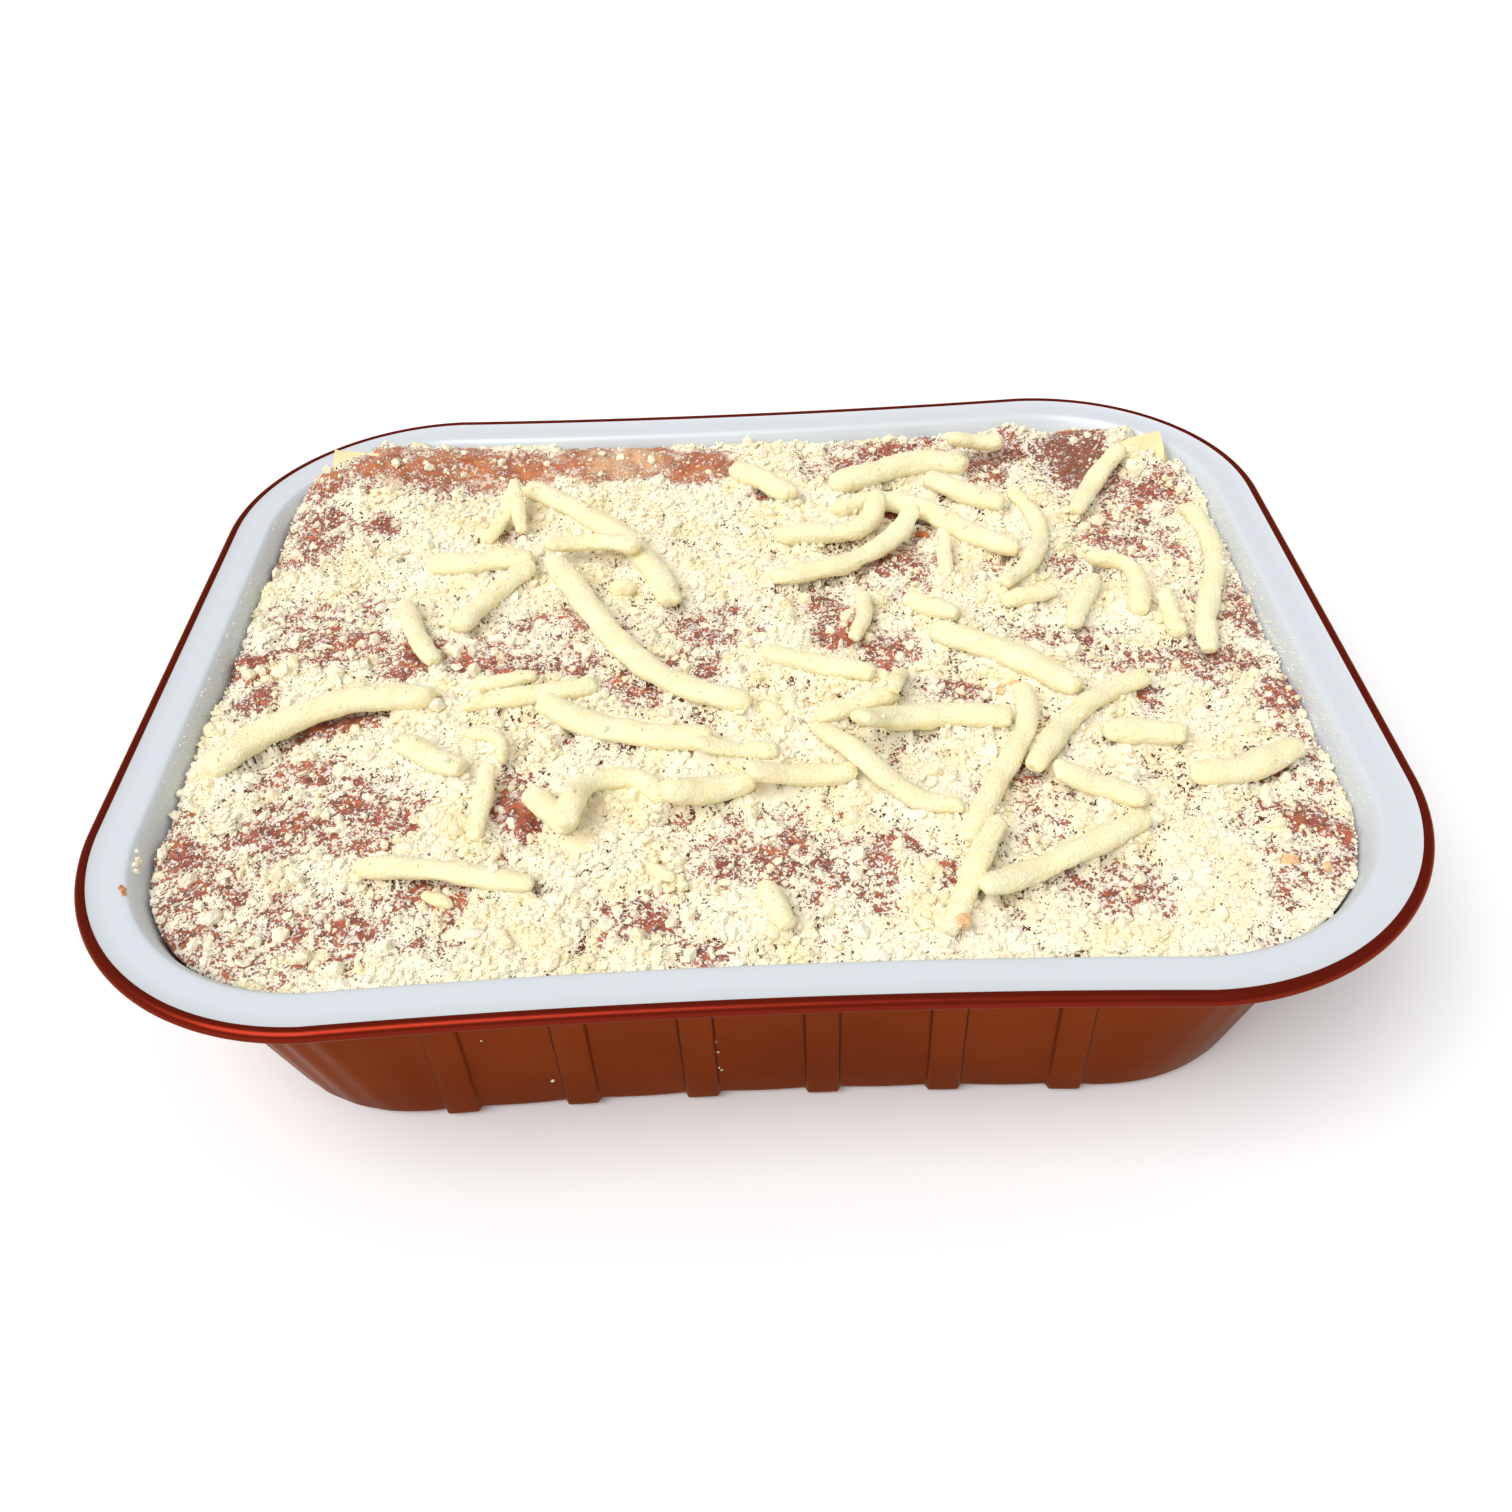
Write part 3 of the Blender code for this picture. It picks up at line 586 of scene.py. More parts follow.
def roasted_band(x, y):
    """1 in the orange brown band of sauce along the back, left of the middle, where little cheese fell."""
    ragged = 1.6 * soft_noise(x, y, 3.5, 16)
    return smooth_step(y + ragged, 42.5, 47) * smooth_step(-x + ragged, -3, 3)


# %% [markdown]
# ## A fine sheet of food
#
# Both the sauce and the cheese are uneven sheets that fill the tray's mouth. A grid is cut to the mouth's
# outline, its rim is drawn down like a pie's edge, and the underside is closed, so each is a solid slab.
# The tray tapers, so places near its wall move inwards as far as they lie below the mouth.

# %% Make a slab of food from a height function
FOOD_CELL = 0.46
GRID_JITTER = 0.12
WALL_TAPER = 0.26


def towards_middle(x, y):
    """The level direction from the wall inwards at a place."""
    slope_x = (inside_wall(x + 0.05, y) - inside_wall(x - 0.05, y)) / 0.1
    slope_y = (inside_wall(x, y + 0.05) - inside_wall(x, y - 0.05)) / 0.1
    return slope_x, slope_y


def taper_below(z):
    """How much narrower the tray is at a height than at its mouth."""
    return WALL_TAPER * np.maximum(0, HEIGHT - 1 - z)


def food_slab(height, skirt):
    """A closed slab whose top follows the height function and whose underside is flat."""
    half_x, half_y, _ = wall_size(HEIGHT)
    start_clean()
    count_x, count_y = int(2 * half_x / FOOD_CELL), int(2 * half_y / FOOD_CELL)
    bpy.ops.mesh.primitive_grid_add(x_subdivisions=count_x, y_subdivisions=count_y, size=1)
    slab = bpy.context.object
    points = read_points(slab)
    draw = np.random.default_rng(3)
    x = points[:, 0] * 2 * half_x + draw.uniform(-GRID_JITTER, GRID_JITTER, len(points))
    y = points[:, 1] * 2 * half_y + draw.uniform(-GRID_JITTER, GRID_JITTER, len(points))
    room = inside_wall(x, y) - 0.5 * np.abs(soft_noise(x, y, 5, 8))
    slope_x, slope_y = towards_middle(x, y)
    outside = room < 0
    x = np.where(outside, x - slope_x * room, x)
    y = np.where(outside, y - slope_y * room, y)
    z = height(x, y)
    short = np.maximum(0, taper_below(z) - np.maximum(inside_wall(x, y), 0))
    write_points(slab, np.stack([x + slope_x * short, y + slope_y * short, z], 1) * MM)
    bpy.ops.object.mode_set(mode="EDIT")
    bpy.ops.mesh.select_mode(type="VERT")
    shape = bmesh.from_edit_mesh(slab.data)
    shape.verts.ensure_lookup_table()
    for vertex in shape.verts:
        vertex.select = bool(room[vertex.index] < -0.7 * FOOD_CELL)
    shape.select_flush(True)
    bpy.ops.mesh.delete(type="VERT")
    bpy.ops.mesh.select_all(action="DESELECT")
    bpy.ops.mesh.select_non_manifold()
    bpy.ops.mesh.extrude_region_move()
    shape = bmesh.from_edit_mesh(slab.data)
    for vertex in shape.verts:
        if vertex.select:
            x, y = vertex.co.x / MM, vertex.co.y / MM
            slope_x, slope_y = towards_middle(x, y)
            inwards = taper_below(skirt) - taper_below(vertex.co.z / MM) + 0.1
            vertex.co = Vector((x + slope_x * inwards, y + slope_y * inwards, skirt)) * MM
    bpy.ops.mesh.edge_face_add()
    bpy.ops.mesh.select_all(action="SELECT")
    bpy.ops.mesh.normals_make_consistent(inside=False)
    bpy.ops.object.mode_set(mode="OBJECT")
    bpy.ops.object.shade_smooth()
    return slab


def store(piece, name, values):
    """Keep one number for each point of the mesh, for the material to read."""
    attribute = piece.data.attributes.new(name, "FLOAT", "POINT")
    attribute.data.foreach_set("value", np.asarray(values, np.float32))


def dimpled(x, y, size, seed):
    """Rounded lumps of about this size: high in the middle and creased between them."""
    draw = np.random.default_rng(seed)
    shift = draw.uniform(-0.42, 0.42, (NOISE_TABLE, NOISE_TABLE, 2))
    lift = draw.uniform(0.45, 1.0, (NOISE_TABLE, NOISE_TABLE))
    column = np.floor(x / size + TABLE_START).astype(int)
    row = np.floor(y / size + TABLE_START).astype(int)
    tall = np.zeros_like(x)
    for side in (-1, 0, 1):
        for ahead in (-1, 0, 1):
            cell_x, cell_y = (column + side) % NOISE_TABLE, (row + ahead) % NOISE_TABLE
            middle_x = (column + side - TABLE_START + 0.5 + shift[cell_x, cell_y, 0]) * size
            middle_y = (row + ahead - TABLE_START + 0.5 + shift[cell_x, cell_y, 1]) * size
            away = ((x - middle_x) ** 2 + (y - middle_y) ** 2) / (size * 0.62) ** 2
            tall = np.maximum(tall, lift[cell_x, cell_y] * np.sqrt(np.maximum(0, 1 - away)))
    return tall


# %% [markdown]
# ## Meat sauce
#
# The sauce is minced meat in tomato: lumps of one and a half to three millimetres, moist and a little
# oily. Noise alone looks like cloud, so the lumps are rounded caps on a jittered grid. The slab stands a
# little higher where the cheese leaves it bare, and a bigger lump stands up at the back wall.

# %% Sauce height and slab
EDGE_FALL = 0.9
EDGE_WIDTH = 0.9


def sauce_height(x, y):
    """The sauce's top: the food's height with lumps, rounded down along the tray's wall."""
    lumps = 0.75 * dimpled(x, y, 2.9, 11) + 0.35 * dimpled(x, y, 1.5, 12)
    bare = bareness(x, y)
    peak = 2.8 * np.maximum(0, 1 - np.hypot((x - 44.5) / 6.5, (y - 54) / 4.2)) ** 0.8
    fall = EDGE_FALL * np.exp(-np.maximum(inside_wall(x, y), 0) / EDGE_WIDTH) + tip_fall(x, y)
    height = surface_height(x, y) - 1.25 + 0.65 * bare
    return height + lumps * (0.55 + 0.45 * bare) + peak - fall


sauce = food_slab(sauce_height, HEIGHT - 7.0)
where = read_points(sauce) / MM
across, ahead = where[:, 0], where[:, 1]
store(sauce, "cover", cheese_cover(across, ahead))
store(sauce, "roasted", roasted_band(across, ahead) * (0.75 + 0.5 * soft_noise(across, ahead, 3, 17)))
away = np.hypot((across + 19) / 9, (ahead - 51) / 5) + 0.5 * soft_noise(across, ahead, 2, 13)
store(sauce, "smear", 1 - smooth_step(away, 0.5, 1.2))
# The darker brown patch at the back right is painted shade of a fold in the sauce.
store(sauce, "dark", fold_shade_patch(across, ahead))
print("the sauce's slab has", len(where), "points")

# %% [markdown]
# ## Sauce and cheese finishes
#
# The sauce is brick red with browner meat, moist where it is bare and dull where powder lies on it. The
# cheese is a pale cream powder; the dark gaps between its grains are painted shade with the sauce's colour
# showing through. Painting every speck isn't possible, so both materials read how thick the cheese lies at
# each point, and noise turns that into specks.

# %% Sauce and cheese finishes
CREAM = colour(254, 248, 226)
CREAM_SHADE = colour(252, 239, 200)
DUST = colour(238, 220, 210)
# Painted shade between the grains, with the sauce's colour showing through.
GAP_SAUCE_AND_SHADE = colour(104, 50, 38)


def powdery(finish, place):
    """A mask of powder specks: nearly none where the cover is 0 and nearly everywhere where it is 1."""
    specks = finish.noise(0.42, 2, 0.7, place) * 0.6 + finish.noise(1.1, 2, 0.6, place) * 0.4
    return (specks + finish.attribute("cover") * 0.24).between(0.55, 0.6)


def sauce_finish():
    finish = Finish("meat_sauce")
    place = finish.place()
    patchy = finish.noise(3.2, 3, 0.6, place)
    fine = finish.noise(0.8, 3, 0.6, place)
    red = finish.mix(patchy.between(0.35, 0.65), colour(148, 56, 25), colour(200, 96, 48))
    meat = finish.mix(fine.between(0.46, 0.64), red, colour(98, 44, 26))
    roast = finish.attribute("roasted") * (0.3 + fine.between(0.42, 0.6) * 0.55)
    meat = finish.mix(roast, meat, colour(214, 132, 62))
    # Painted shade: a darker brown in the fold beside the lump at the back right.
    meat = finish.mix(finish.attribute("dark") * 0.75, meat, colour(120, 62, 22))
    smear = finish.attribute("smear") * (0.25 + patchy.between(0.35, 0.6) * 0.55)
    meat = finish.mix(smear, meat, colour(234, 188, 138))
    cover = finish.attribute("cover")
    film = powdery(finish, place)
    powder = finish.mix(cover.between(0.1, 0.6), DUST, CREAM)
    return finish.feed(
        Base_Color=finish.mix(0.05 + film * (0.87 - finish.attribute("roasted") * 0.4), meat, powder),
        Roughness=0.3 + film * 0.55,
        Normal=finish.bump(patchy * 0.5 + fine * 0.5 + film * 0.5, 0.8, 0.5),
    )


def cheese_finish(name, gaps):
    """Cream powder; for the bed, dark gaps between the grains, painted shade with the sauce's colour in it.
    """
    finish = Finish(name, Roughness=0.85, Specular_IOR_Level=0.3)
    place = finish.place()
    patchy = finish.noise(5, 3, 0.6, place)
    fine = finish.noise(0.42, 2, 0.7, place)
    height = fine
    base = finish.mix(patchy.between(0.35, 0.7), CREAM, CREAM_SHADE)
    if gaps:
        film = powdery(finish, place)
        # The gaps are painted shade between the grains, tinted by the sauce below.
        base = finish.mix(film, GAP_SAUCE_AND_SHADE, base)
        height = fine + film * 0.6
    return finish.feed(Base_Color=base, Normal=finish.bump(height, 0.7, 0.35))


meat_sauce = sauce_finish()
grated = cheese_finish("grated_cheese", True)
loose_cheese = cheese_finish("loose_cheese", False)
finish_piece(sauce, "sauce_layer", meat_sauce, ["meat_sauce"])

# %% [markdown]
# ## Mozzarella
#
# Mozzarella is soft, a little see-through and yellower than the powder. A touch of subsurface scattering
# lets light soften inside it, and noise lays a thin film of the powder on it.

# %% Mozzarella finish
def mozzarella_finish():
    finish = Finish("mozzarella", Roughness=0.65, Subsurface_Weight=0.3)
    finish.shader.inputs["Subsurface Radius"].default_value = (1.0, 0.75, 0.4)
    finish.shader.inputs["Subsurface Scale"].default_value = 0.0012
    place = finish.place()
    patchy = finish.noise(4, 3, 0.6, place)
    fine = finish.noise(0.45, 2, 0.7, place)
    base = finish.mix(patchy.between(0.3, 0.7), colour(255, 245, 202), colour(255, 236, 178))
    powder = (fine + patchy * 0.35).between(0.56, 0.72)
    return finish.feed(
        Base_Color=finish.mix(powder * 0.3, base, CREAM),
        Normal=finish.bump(fine + powder * 0.4, 0.5, 0.25),
    )


mozzarella = mozzarella_finish()
print("finish:", mozzarella.name)

# %% [markdown]
# ## Mozzarella shreds
#
# The long shreds came from a coarse grater: soft, rounded and a little uneven in width. The solids
# already follow the real ones, with six flat sides each. A copy of each is merged, its corners are
# rounded by a subdivision surface, and two cloud textures push its skin in and out.

# %% Shape one shred from its solid
ROUNDING = 0.26
SMOOTH_STEPS = 3


def cloud_texture(name, size):
    texture = bpy.data.textures.new(name, "CLOUDS")
    texture.noise_scale = size * MM
    texture.noise_depth = 1
    return texture


wide_waves = cloud_texture("shred_waves", 4.0)
fine_waves = cloud_texture("shred_skin", 0.9)


def finish_modifiers(piece):
    """Turn the modifiers into real shape, in their order."""
    pick(piece)
    for modifier in list(piece.modifiers):
        bpy.ops.object.modifier_apply(modifier=modifier.name)


def shape_shred(node, name):
    """A rounded, slightly lumpy copy of one shred's solid."""
    piece = bpy.data.objects.new(name, node.data.copy())
    bpy.context.scene.collection.objects.link(piece)
    pick(piece)
    bpy.ops.object.mode_set(mode="EDIT")
    bpy.ops.mesh.select_all(action="SELECT")
    bpy.ops.mesh.remove_doubles(threshold=0.00001)
    bpy.ops.mesh.tris_convert_to_quads(face_threshold=radians(60), shape_threshold=radians(60))
    bpy.ops.object.mode_set(mode="OBJECT")
    shape = bmesh.new()
    shape.from_mesh(piece.data)
    shape.normal_update()
    for vertex in shape.verts:
        vertex.co += vertex.normal * ROUNDING * MM
    shape.to_mesh(piece.data)
    shape.free()
    rounded = piece.modifiers.new("rounded", "SUBSURF")
    rounded.levels = SMOOTH_STEPS
    rounded.render_levels = SMOOTH_STEPS
    for texture, strength in ((wide_waves, 0.75), (fine_waves, 0.3)):
        push = piece.modifiers.new("push", "DISPLACE")
        push.texture = texture
        push.texture_coords = "LOCAL"
        push.strength = strength * MM
        push.mid_level = 0.5
    finish_modifiers(piece)
    bpy.ops.object.shade_smooth()
    return piece


shreds = []
for node_name in sorted(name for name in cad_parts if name.startswith("shred_")):
    shred = shape_shred(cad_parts[node_name], node_name.replace("shred", "mozzarella"))
    finish_piece(shred, shred.name, mozzarella, [node_name])
    shreds.append(shred)

# %% [markdown]
# ## The cheese bed
#
# The grated hard cheese is a powder with clusters in it. Its slab dips below the sauce where the sauce is
# bare and stands in small heaps where it lies thick. A shred would hover over a plain slab, so the cheese
# is lifted to meet each shred's underside, and banks up beside it as powder does.

# %% Cheese height and slab
def search_tree(pieces):
    """A tree of all the pieces' faces, which finds what a ray hits and what lies nearest."""
    points, faces = [], []
    for piece in pieces:
        start = len(points)
        points += [tuple(vertex.co) for vertex in piece.data.vertices]
        faces += [[start + index for index in face.vertices] for face in piece.data.polygons]
    return BVHTree.FromPolygons(points, faces)


shred_tree = search_tree(shreds)
BANK_REACH = 1.7
BANK_WIDTH = 1.5
RAY_START = 3
RAY_LENGTH = 6


def cheese_height(x, y):
    """The cheese's top: heaps where it lies thick, lifted under and beside the shreds."""
    cover = cheese_cover(x, y)
    heaps = 0.55 * dimpled(x, y, 2.4, 21) + 0.45 * dimpled(x, y, 1.15, 22)
    fine = 0.16 * soft_noise(x, y, 0.75, 23)
    thick = smooth_step(cover, 0.34, 0.76)
    fall = EDGE_FALL * np.exp(-np.maximum(inside_wall(x, y), 0) / EDGE_WIDTH) + tip_fall(x, y)
    height = surface_height(x, y) - 1.5 + 1.15 * thick + heaps * thick * 0.75 + fine - fall
    for index in range(len(x)):
        start = Vector((x[index], y[index], height[index] - RAY_START)) * MM
        under = shred_tree.ray_cast(start, Vector((0, 0, 1)), RAY_LENGTH * MM)
        if under[0] and under[0].z / MM - height[index] < BANK_REACH:
            height[index] = max(height[index], under[0].z / MM + 0.15)
            continue
        beside = shred_tree.find_nearest(Vector((x[index], y[index], height[index])) * MM, BANK_WIDTH * MM)
        if beside[0]:
            share = 1 - beside[3] / MM / BANK_WIDTH
            height[index] += share * max(0, beside[0].z / MM + 0.5 - height[index])
    return height


cheese = food_slab(cheese_height, HEIGHT - 5.6)
where = read_points(cheese) / MM
store(cheese, "cover", cheese_cover(where[:, 0], where[:, 1]))
finish_piece(cheese, "cheese_bed", grated, ["grated_cheese"])

# %% [markdown]
# ## The pasta sheet
#
# The last sheet of lasagne lies under the sauce, but its two back corners ride up on the tray's corners
# and come out bare, and the left part of its back edge stands up along the wall. A grid the size of the
# sheet follows the food's height and rises at these places. A cloth simulation could drape it, but would
# not put the tips where they are. A Solidify modifier gives the sheet its thickness.

# %% Pasta sheet
PASTA_CELL = 1.2
PASTA_THICKNESS = 1.0
LEFT_TIP_RISE = -0.3
LEFT_EDGE_TOP = 36.0


def pasta_finish():
    """Pale yellow dough with sauce stains along the standing edge."""
    finish = Finish("pasta_sheet", Roughness=0.5)
    place = finish.place()
    cloud = finish.noise(6, 3, 0.5, place)
    fine = finish.noise(0.7, 2, 0.5, place)
    stain = finish.noise(3, 3, 0.6, place)
    base = finish.mix(cloud.between(0.3, 0.7), colour(244, 230, 178), colour(238, 218, 160))
    stained = (stain + finish.attribute("sauced") * 0.32).between(0.6, 0.8)
    base = finish.mix(stained, base, colour(182, 104, 54))
    return finish.feed(Base_Color=base, Normal=finish.bump(cloud + fine * 0.2, 0.3, 0.4))


start_clean()
across_cells = int((PASTA_RIGHT - PASTA_LEFT) / PASTA_CELL)
ahead_cells = int((PASTA_BACK_LEFT - PASTA_FRONT) / PASTA_CELL)
bpy.ops.mesh.primitive_grid_add(x_subdivisions=across_cells, y_subdivisions=ahead_cells, size=1)
pasta = bpy.context.object
flat = read_points(pasta)
share_x, share_y = flat[:, 0] + 0.5, flat[:, 1] + 0.5
x = PASTA_LEFT + share_x * (PASTA_RIGHT - PASTA_LEFT)
back = PASTA_BACK_LEFT + share_x * (PASTA_BACK_RIGHT - PASTA_BACK_LEFT)
y = PASTA_FRONT + share_y * (back - PASTA_FRONT)
tip = pasta_tip(x, y)
room = np.minimum(inside_wall(x, y), 0) * (1 - tip)
x = x + room * np.sign(x) * 0.7
y = y + room * np.sign(y) * 0.7
height = food_height(x, y) - PASTA_TOP + np.where(x < 0, LEFT_TIP_RISE, PASTA_TOP) * tip
edge_top = LEFT_EDGE_TOP - 0.05 * (x - PASTA_LEFT)
edge_top = edge_top + 0.35 * soft_noise(x, y, 3, 18)
height = height + pasta_edge(x, y) * np.maximum(0, edge_top - height)
height = height + 0.2 * soft_noise(x, y, 4, 15)
over_rim = tip * (x < 0)
x, y = x - 1.6 * over_rim, y + 1.6 * over_rim
write_points(pasta, np.stack([x, y, height], 1) * MM)
solid = pasta.modifiers.new("thickness", "SOLIDIFY")
solid.thickness = PASTA_THICKNESS * MM
solid.offset = -1
finish_modifiers(pasta)
where = read_points(pasta) / MM
sauced = smooth_step(where[:, 1], 48, 52) * smooth_step(where[:, 0], -62, -52) * (where[:, 0] < 0)
store(pasta, "sauced", sauced)
bpy.ops.object.shade_smooth_by_angle(angle=radians(50))
finish_piece(pasta, "pasta_leaf", pasta_finish(), ["pasta_sheet"])

# %% [markdown]
# ## The filling
#
# The layers below are hidden under the sauce, so their solid stays as it is and only gets a material:
# wavy level bands of red sauce and pale pasta, made by a sine of the height.

# %% Filling finish
def filling_finish():
    finish = Finish("filling_layers", Roughness=0.55)
    height = finish.node("ShaderNodeSeparateXYZ", None, {"Vector": finish.place()}, output=2)
    wavy = height * 1000 + finish.noise(6, 2) * 3
    bands = finish.node("ShaderNodeMath", {"operation": "SINE"}, {0: wavy * 1.4})
    base = finish.mix(bands.between(0.2, 0.6), colour(150, 62, 38), colour(226, 196, 140))
    return finish.feed(Base_Color=base, Normal=finish.bump(finish.noise(2, 3), 0.5, 0.6))


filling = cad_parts["lasagne_filling"]
filling.data.materials.clear()
filling.data.materials.append(filling_finish())
print("the filling's finish:", filling.data.materials[0].name)

# %% [markdown]
# ## Loose grains
#
# The powder is grains from a fifth of a millimetre up to crumbs of two millimetres. A particle system
# could throw them, but here every grain has to be a real piece in the frame. So each kind is modelled
# once and copied by arrays of numbers: a place on the food, a turn and a size for each. Grains fall more
# densely where the cheese lies, and some land on the sauce and on the shreds.

# %% Scatter one kind of grain
TRIES_PER_GRAIN = 6
bed_tree = search_tree([cheese, sauce])


def landing(x, y, tree):
    """Heights at which grains dropped at these places come to rest, or 0 where nothing stops them."""
    heights = np.zeros(len(x))
    for index in range(len(x)):
        hit = tree.ray_cast(Vector((x[index], y[index], HEIGHT * 2)) * MM, Vector((0, 0, -1)))
        if hit[0]:
            heights[index] = hit[0].z / MM
    return heights


def random_turns(count, draw):
    """Turning matrices in all directions."""
    spin = draw.normal(size=(count, 4))
    spin /= np.linalg.norm(spin, axis=1)[:, None]
    w, x, y, z = spin.T
    rows = [1 - 2 * (y * y + z * z), 2 * (x * y - w * z), 2 * (x * z + w * y),
            2 * (x * y + w * z), 1 - 2 * (x * x + z * z), 2 * (y * z - w * x),
            2 * (x * z - w * y), 2 * (y * z + w * x), 1 - 2 * (x * x + y * y)]
    return np.stack(rows, 1).reshape(-1, 3, 3)


def gentle_turns(count, draw):
    """Turning matrices for flakes that lie nearly level."""
    around = draw.uniform(0, 2 * pi, count)
    tilt = draw.normal(0, 0.45, count)
    cos_around, sin_around = np.cos(around), np.sin(around)
    cos_tilt, sin_tilt = np.cos(tilt), np.sin(tilt)
    rows = [cos_around, -sin_around * cos_tilt, sin_around * sin_tilt,
            sin_around, cos_around * cos_tilt, -cos_around * sin_tilt,
            0 * cos_around, sin_tilt, cos_tilt]
    return np.stack(rows, 1).reshape(-1, 3, 3)


def double_pyramid():
    """Eight small faces: an open cone of four sides whose rim is drawn down to a second tip."""
    bpy.ops.mesh.primitive_cone_add(vertices=4, radius1=1, radius2=0, depth=1, end_fill_type="NOTHING")
    bpy.ops.object.mode_set(mode="EDIT")
    bpy.ops.mesh.select_all(action="DESELECT")
    bpy.ops.mesh.select_non_manifold()
    bpy.ops.mesh.extrude_region_move(TRANSFORM_OT_translate={"value": (0, 0, -1)})
    bpy.ops.mesh.merge(type="CENTER")
    bpy.ops.mesh.select_all(action="SELECT")
    bpy.ops.transform.translate(value=(0, 0, 0.5))
    bpy.ops.mesh.normals_make_consistent(inside=False)
    bpy.ops.object.mode_set(mode="OBJECT")


def grain_shape(detail, roughness, seed):
    """One grain: a small round primitive whose points are pushed in and out."""
    start_clean()
    if detail == 0:
        double_pyramid()
    else:
        bpy.ops.mesh.primitive_ico_sphere_add(subdivisions=detail, radius=1)
    grain = bpy.context.object
    draw = np.random.default_rng(seed)
    points = read_points(grain)
    points *= draw.uniform(1 - roughness, 1 + roughness, (len(points), 1))
    faces = [tuple(face.vertices) for face in grain.data.polygons]
    bpy.data.objects.remove(grain, do_unlink=True)
    return points, np.array(faces)


def lay_grains(name, shape, centres, sizes, flatness, draw, material):
    """One mesh with a copy of the grain at each place."""
    points, faces = shape
    count = len(centres)
    stretch = draw.uniform(0.7, 1.35, (count, 1, 3)) * (1, 1, flatness)
    placed = points[None] * stretch * sizes[:, None, None]
    turns = random_turns(count, draw) if flatness == 1 else gentle_turns(count, draw)
    placed = np.einsum("nij,nkj->nki", turns, placed) + centres[:, None]
    every = faces[None] + (np.arange(count) * len(points))[:, None, None]
    mesh = bpy.data.meshes.new(name)
    corners = placed.reshape(-1, 3) * MM
    mesh.from_pydata(corners.tolist(), [], every.reshape(-1, faces.shape[1]).tolist())
    piece = bpy.data.objects.new(name, mesh)
    bpy.context.scene.collection.objects.link(piece)
    finish_piece(piece, name, material)


def scatter(name, count, radius, detail, likely, sink, on_shreds, flatness, seed):
    """Let grains fall on the food: likely() gives the chance of one landing for each cover."""
    draw = np.random.default_rng(seed)
    half_x, half_y, _ = wall_size(HEIGHT)
    tries = count * TRIES_PER_GRAIN
    x = draw.uniform(-half_x, half_x, tries)
    y = draw.uniform(-half_y, half_y, tries)
    size = radius[0] + (radius[1] - radius[0]) * draw.uniform(0, 1, tries) ** 1.6
    keep = (inside_wall(x, y) > size + 0.1) & (draw.uniform(0, 1, tries) < likely(cheese_cover(x, y)))
    clean = np.maximum(0.6 * roasted_band(x, y), 0.75 * fold_shade_patch(x, y))
    keep &= np.maximum(pasta_tip(x, y), clean) < draw.uniform(0, 1, tries)
    x, y, size = x[keep][:count], y[keep][:count], size[keep][:count]
    bed, shred = landing(x, y, bed_tree), landing(x, y, shred_tree)
    keep = (shred < bed) | (draw.uniform(0, 1, len(x)) < on_shreds)
    keep &= bed > 0
    z = np.maximum(bed, shred) + size * sink
    centres = np.stack([x, y, z], 1)[keep]
    shape = grain_shape(detail, 0.25, seed)
    lay_grains(name, shape, centres, size[keep], flatness, draw, loose_cheese)


# %% [markdown]
# ## Five kinds of grain
#
# Dust and powder are nearly everywhere, grains and flakes lie only in the thick cheese, and crumbs lie
# almost anywhere. Each entry below is one kind: its name, how many grains fall, their smallest and
# largest radius, how round the shape is, the chance of landing for a cover, how high it sits in radii,
# the share that may lie on a shred, how flat it is and its seed.

# %% Let the grains fall
GRAIN_KINDS = (
    ("cheese_dust", 24000, (0.09, 0.16), 0, lambda cover: 0.5 + 0.4 * cover, 0.3, 0.0, 1, 31),
    ("cheese_powder", 24000, (0.15, 0.28), 0, lambda cover: 0.3 + 0.6 * cover ** 2, 0.3, 0.08, 1, 32),
    ("cheese_grains", 6400, (0.28, 0.55), 1, lambda cover: 0.08 + cover ** 3, 0.25, 0.03, 1, 33),
    ("cheese_flakes", 2600, (0.35, 0.75), 1, lambda cover: 0.08 + cover ** 3, 0.2, 0.02, 0.45, 35),
    ("cheese_crumbs", 1100, (0.45, 1.0), 1, lambda cover: 0.4 + 0.5 * cover, 0.15, 0.0, 1, 34),
)
grain_share = 1.0
for kind_name, count, *rest in GRAIN_KINDS:
    scatter(kind_name, int(count * grain_share), *rest)

# %% [markdown]
# ## Short ends of mozzarella
#
# Five short ends of mozzarella lie between the long shreds. Each is a round bar: a cylinder laid on its
# side, rounded by a subdivision surface, with the same fine cloud texture on its skin as the shreds.

# %% Small scraps of mozzarella
SCRAPS = (
    (-17.5, 12.7, 10, 4.8, 3.4), (-36.3, -45.3, -28, 5.0, 1.9), (-10.6, -43.1, -32, 4.6, 2.0),
    (17.7, -9.8, -42, 3.3, 2.2), (3.2, -16.1, -52, 4.7, 2.8),
)


def resting_height(x, y):
    """The height of the food or the shred at one place."""
    spot = np.array([[x], [y]], float)
    return max(landing(spot[0], spot[1], bed_tree)[0], landing(spot[0], spot[1], shred_tree)[0])


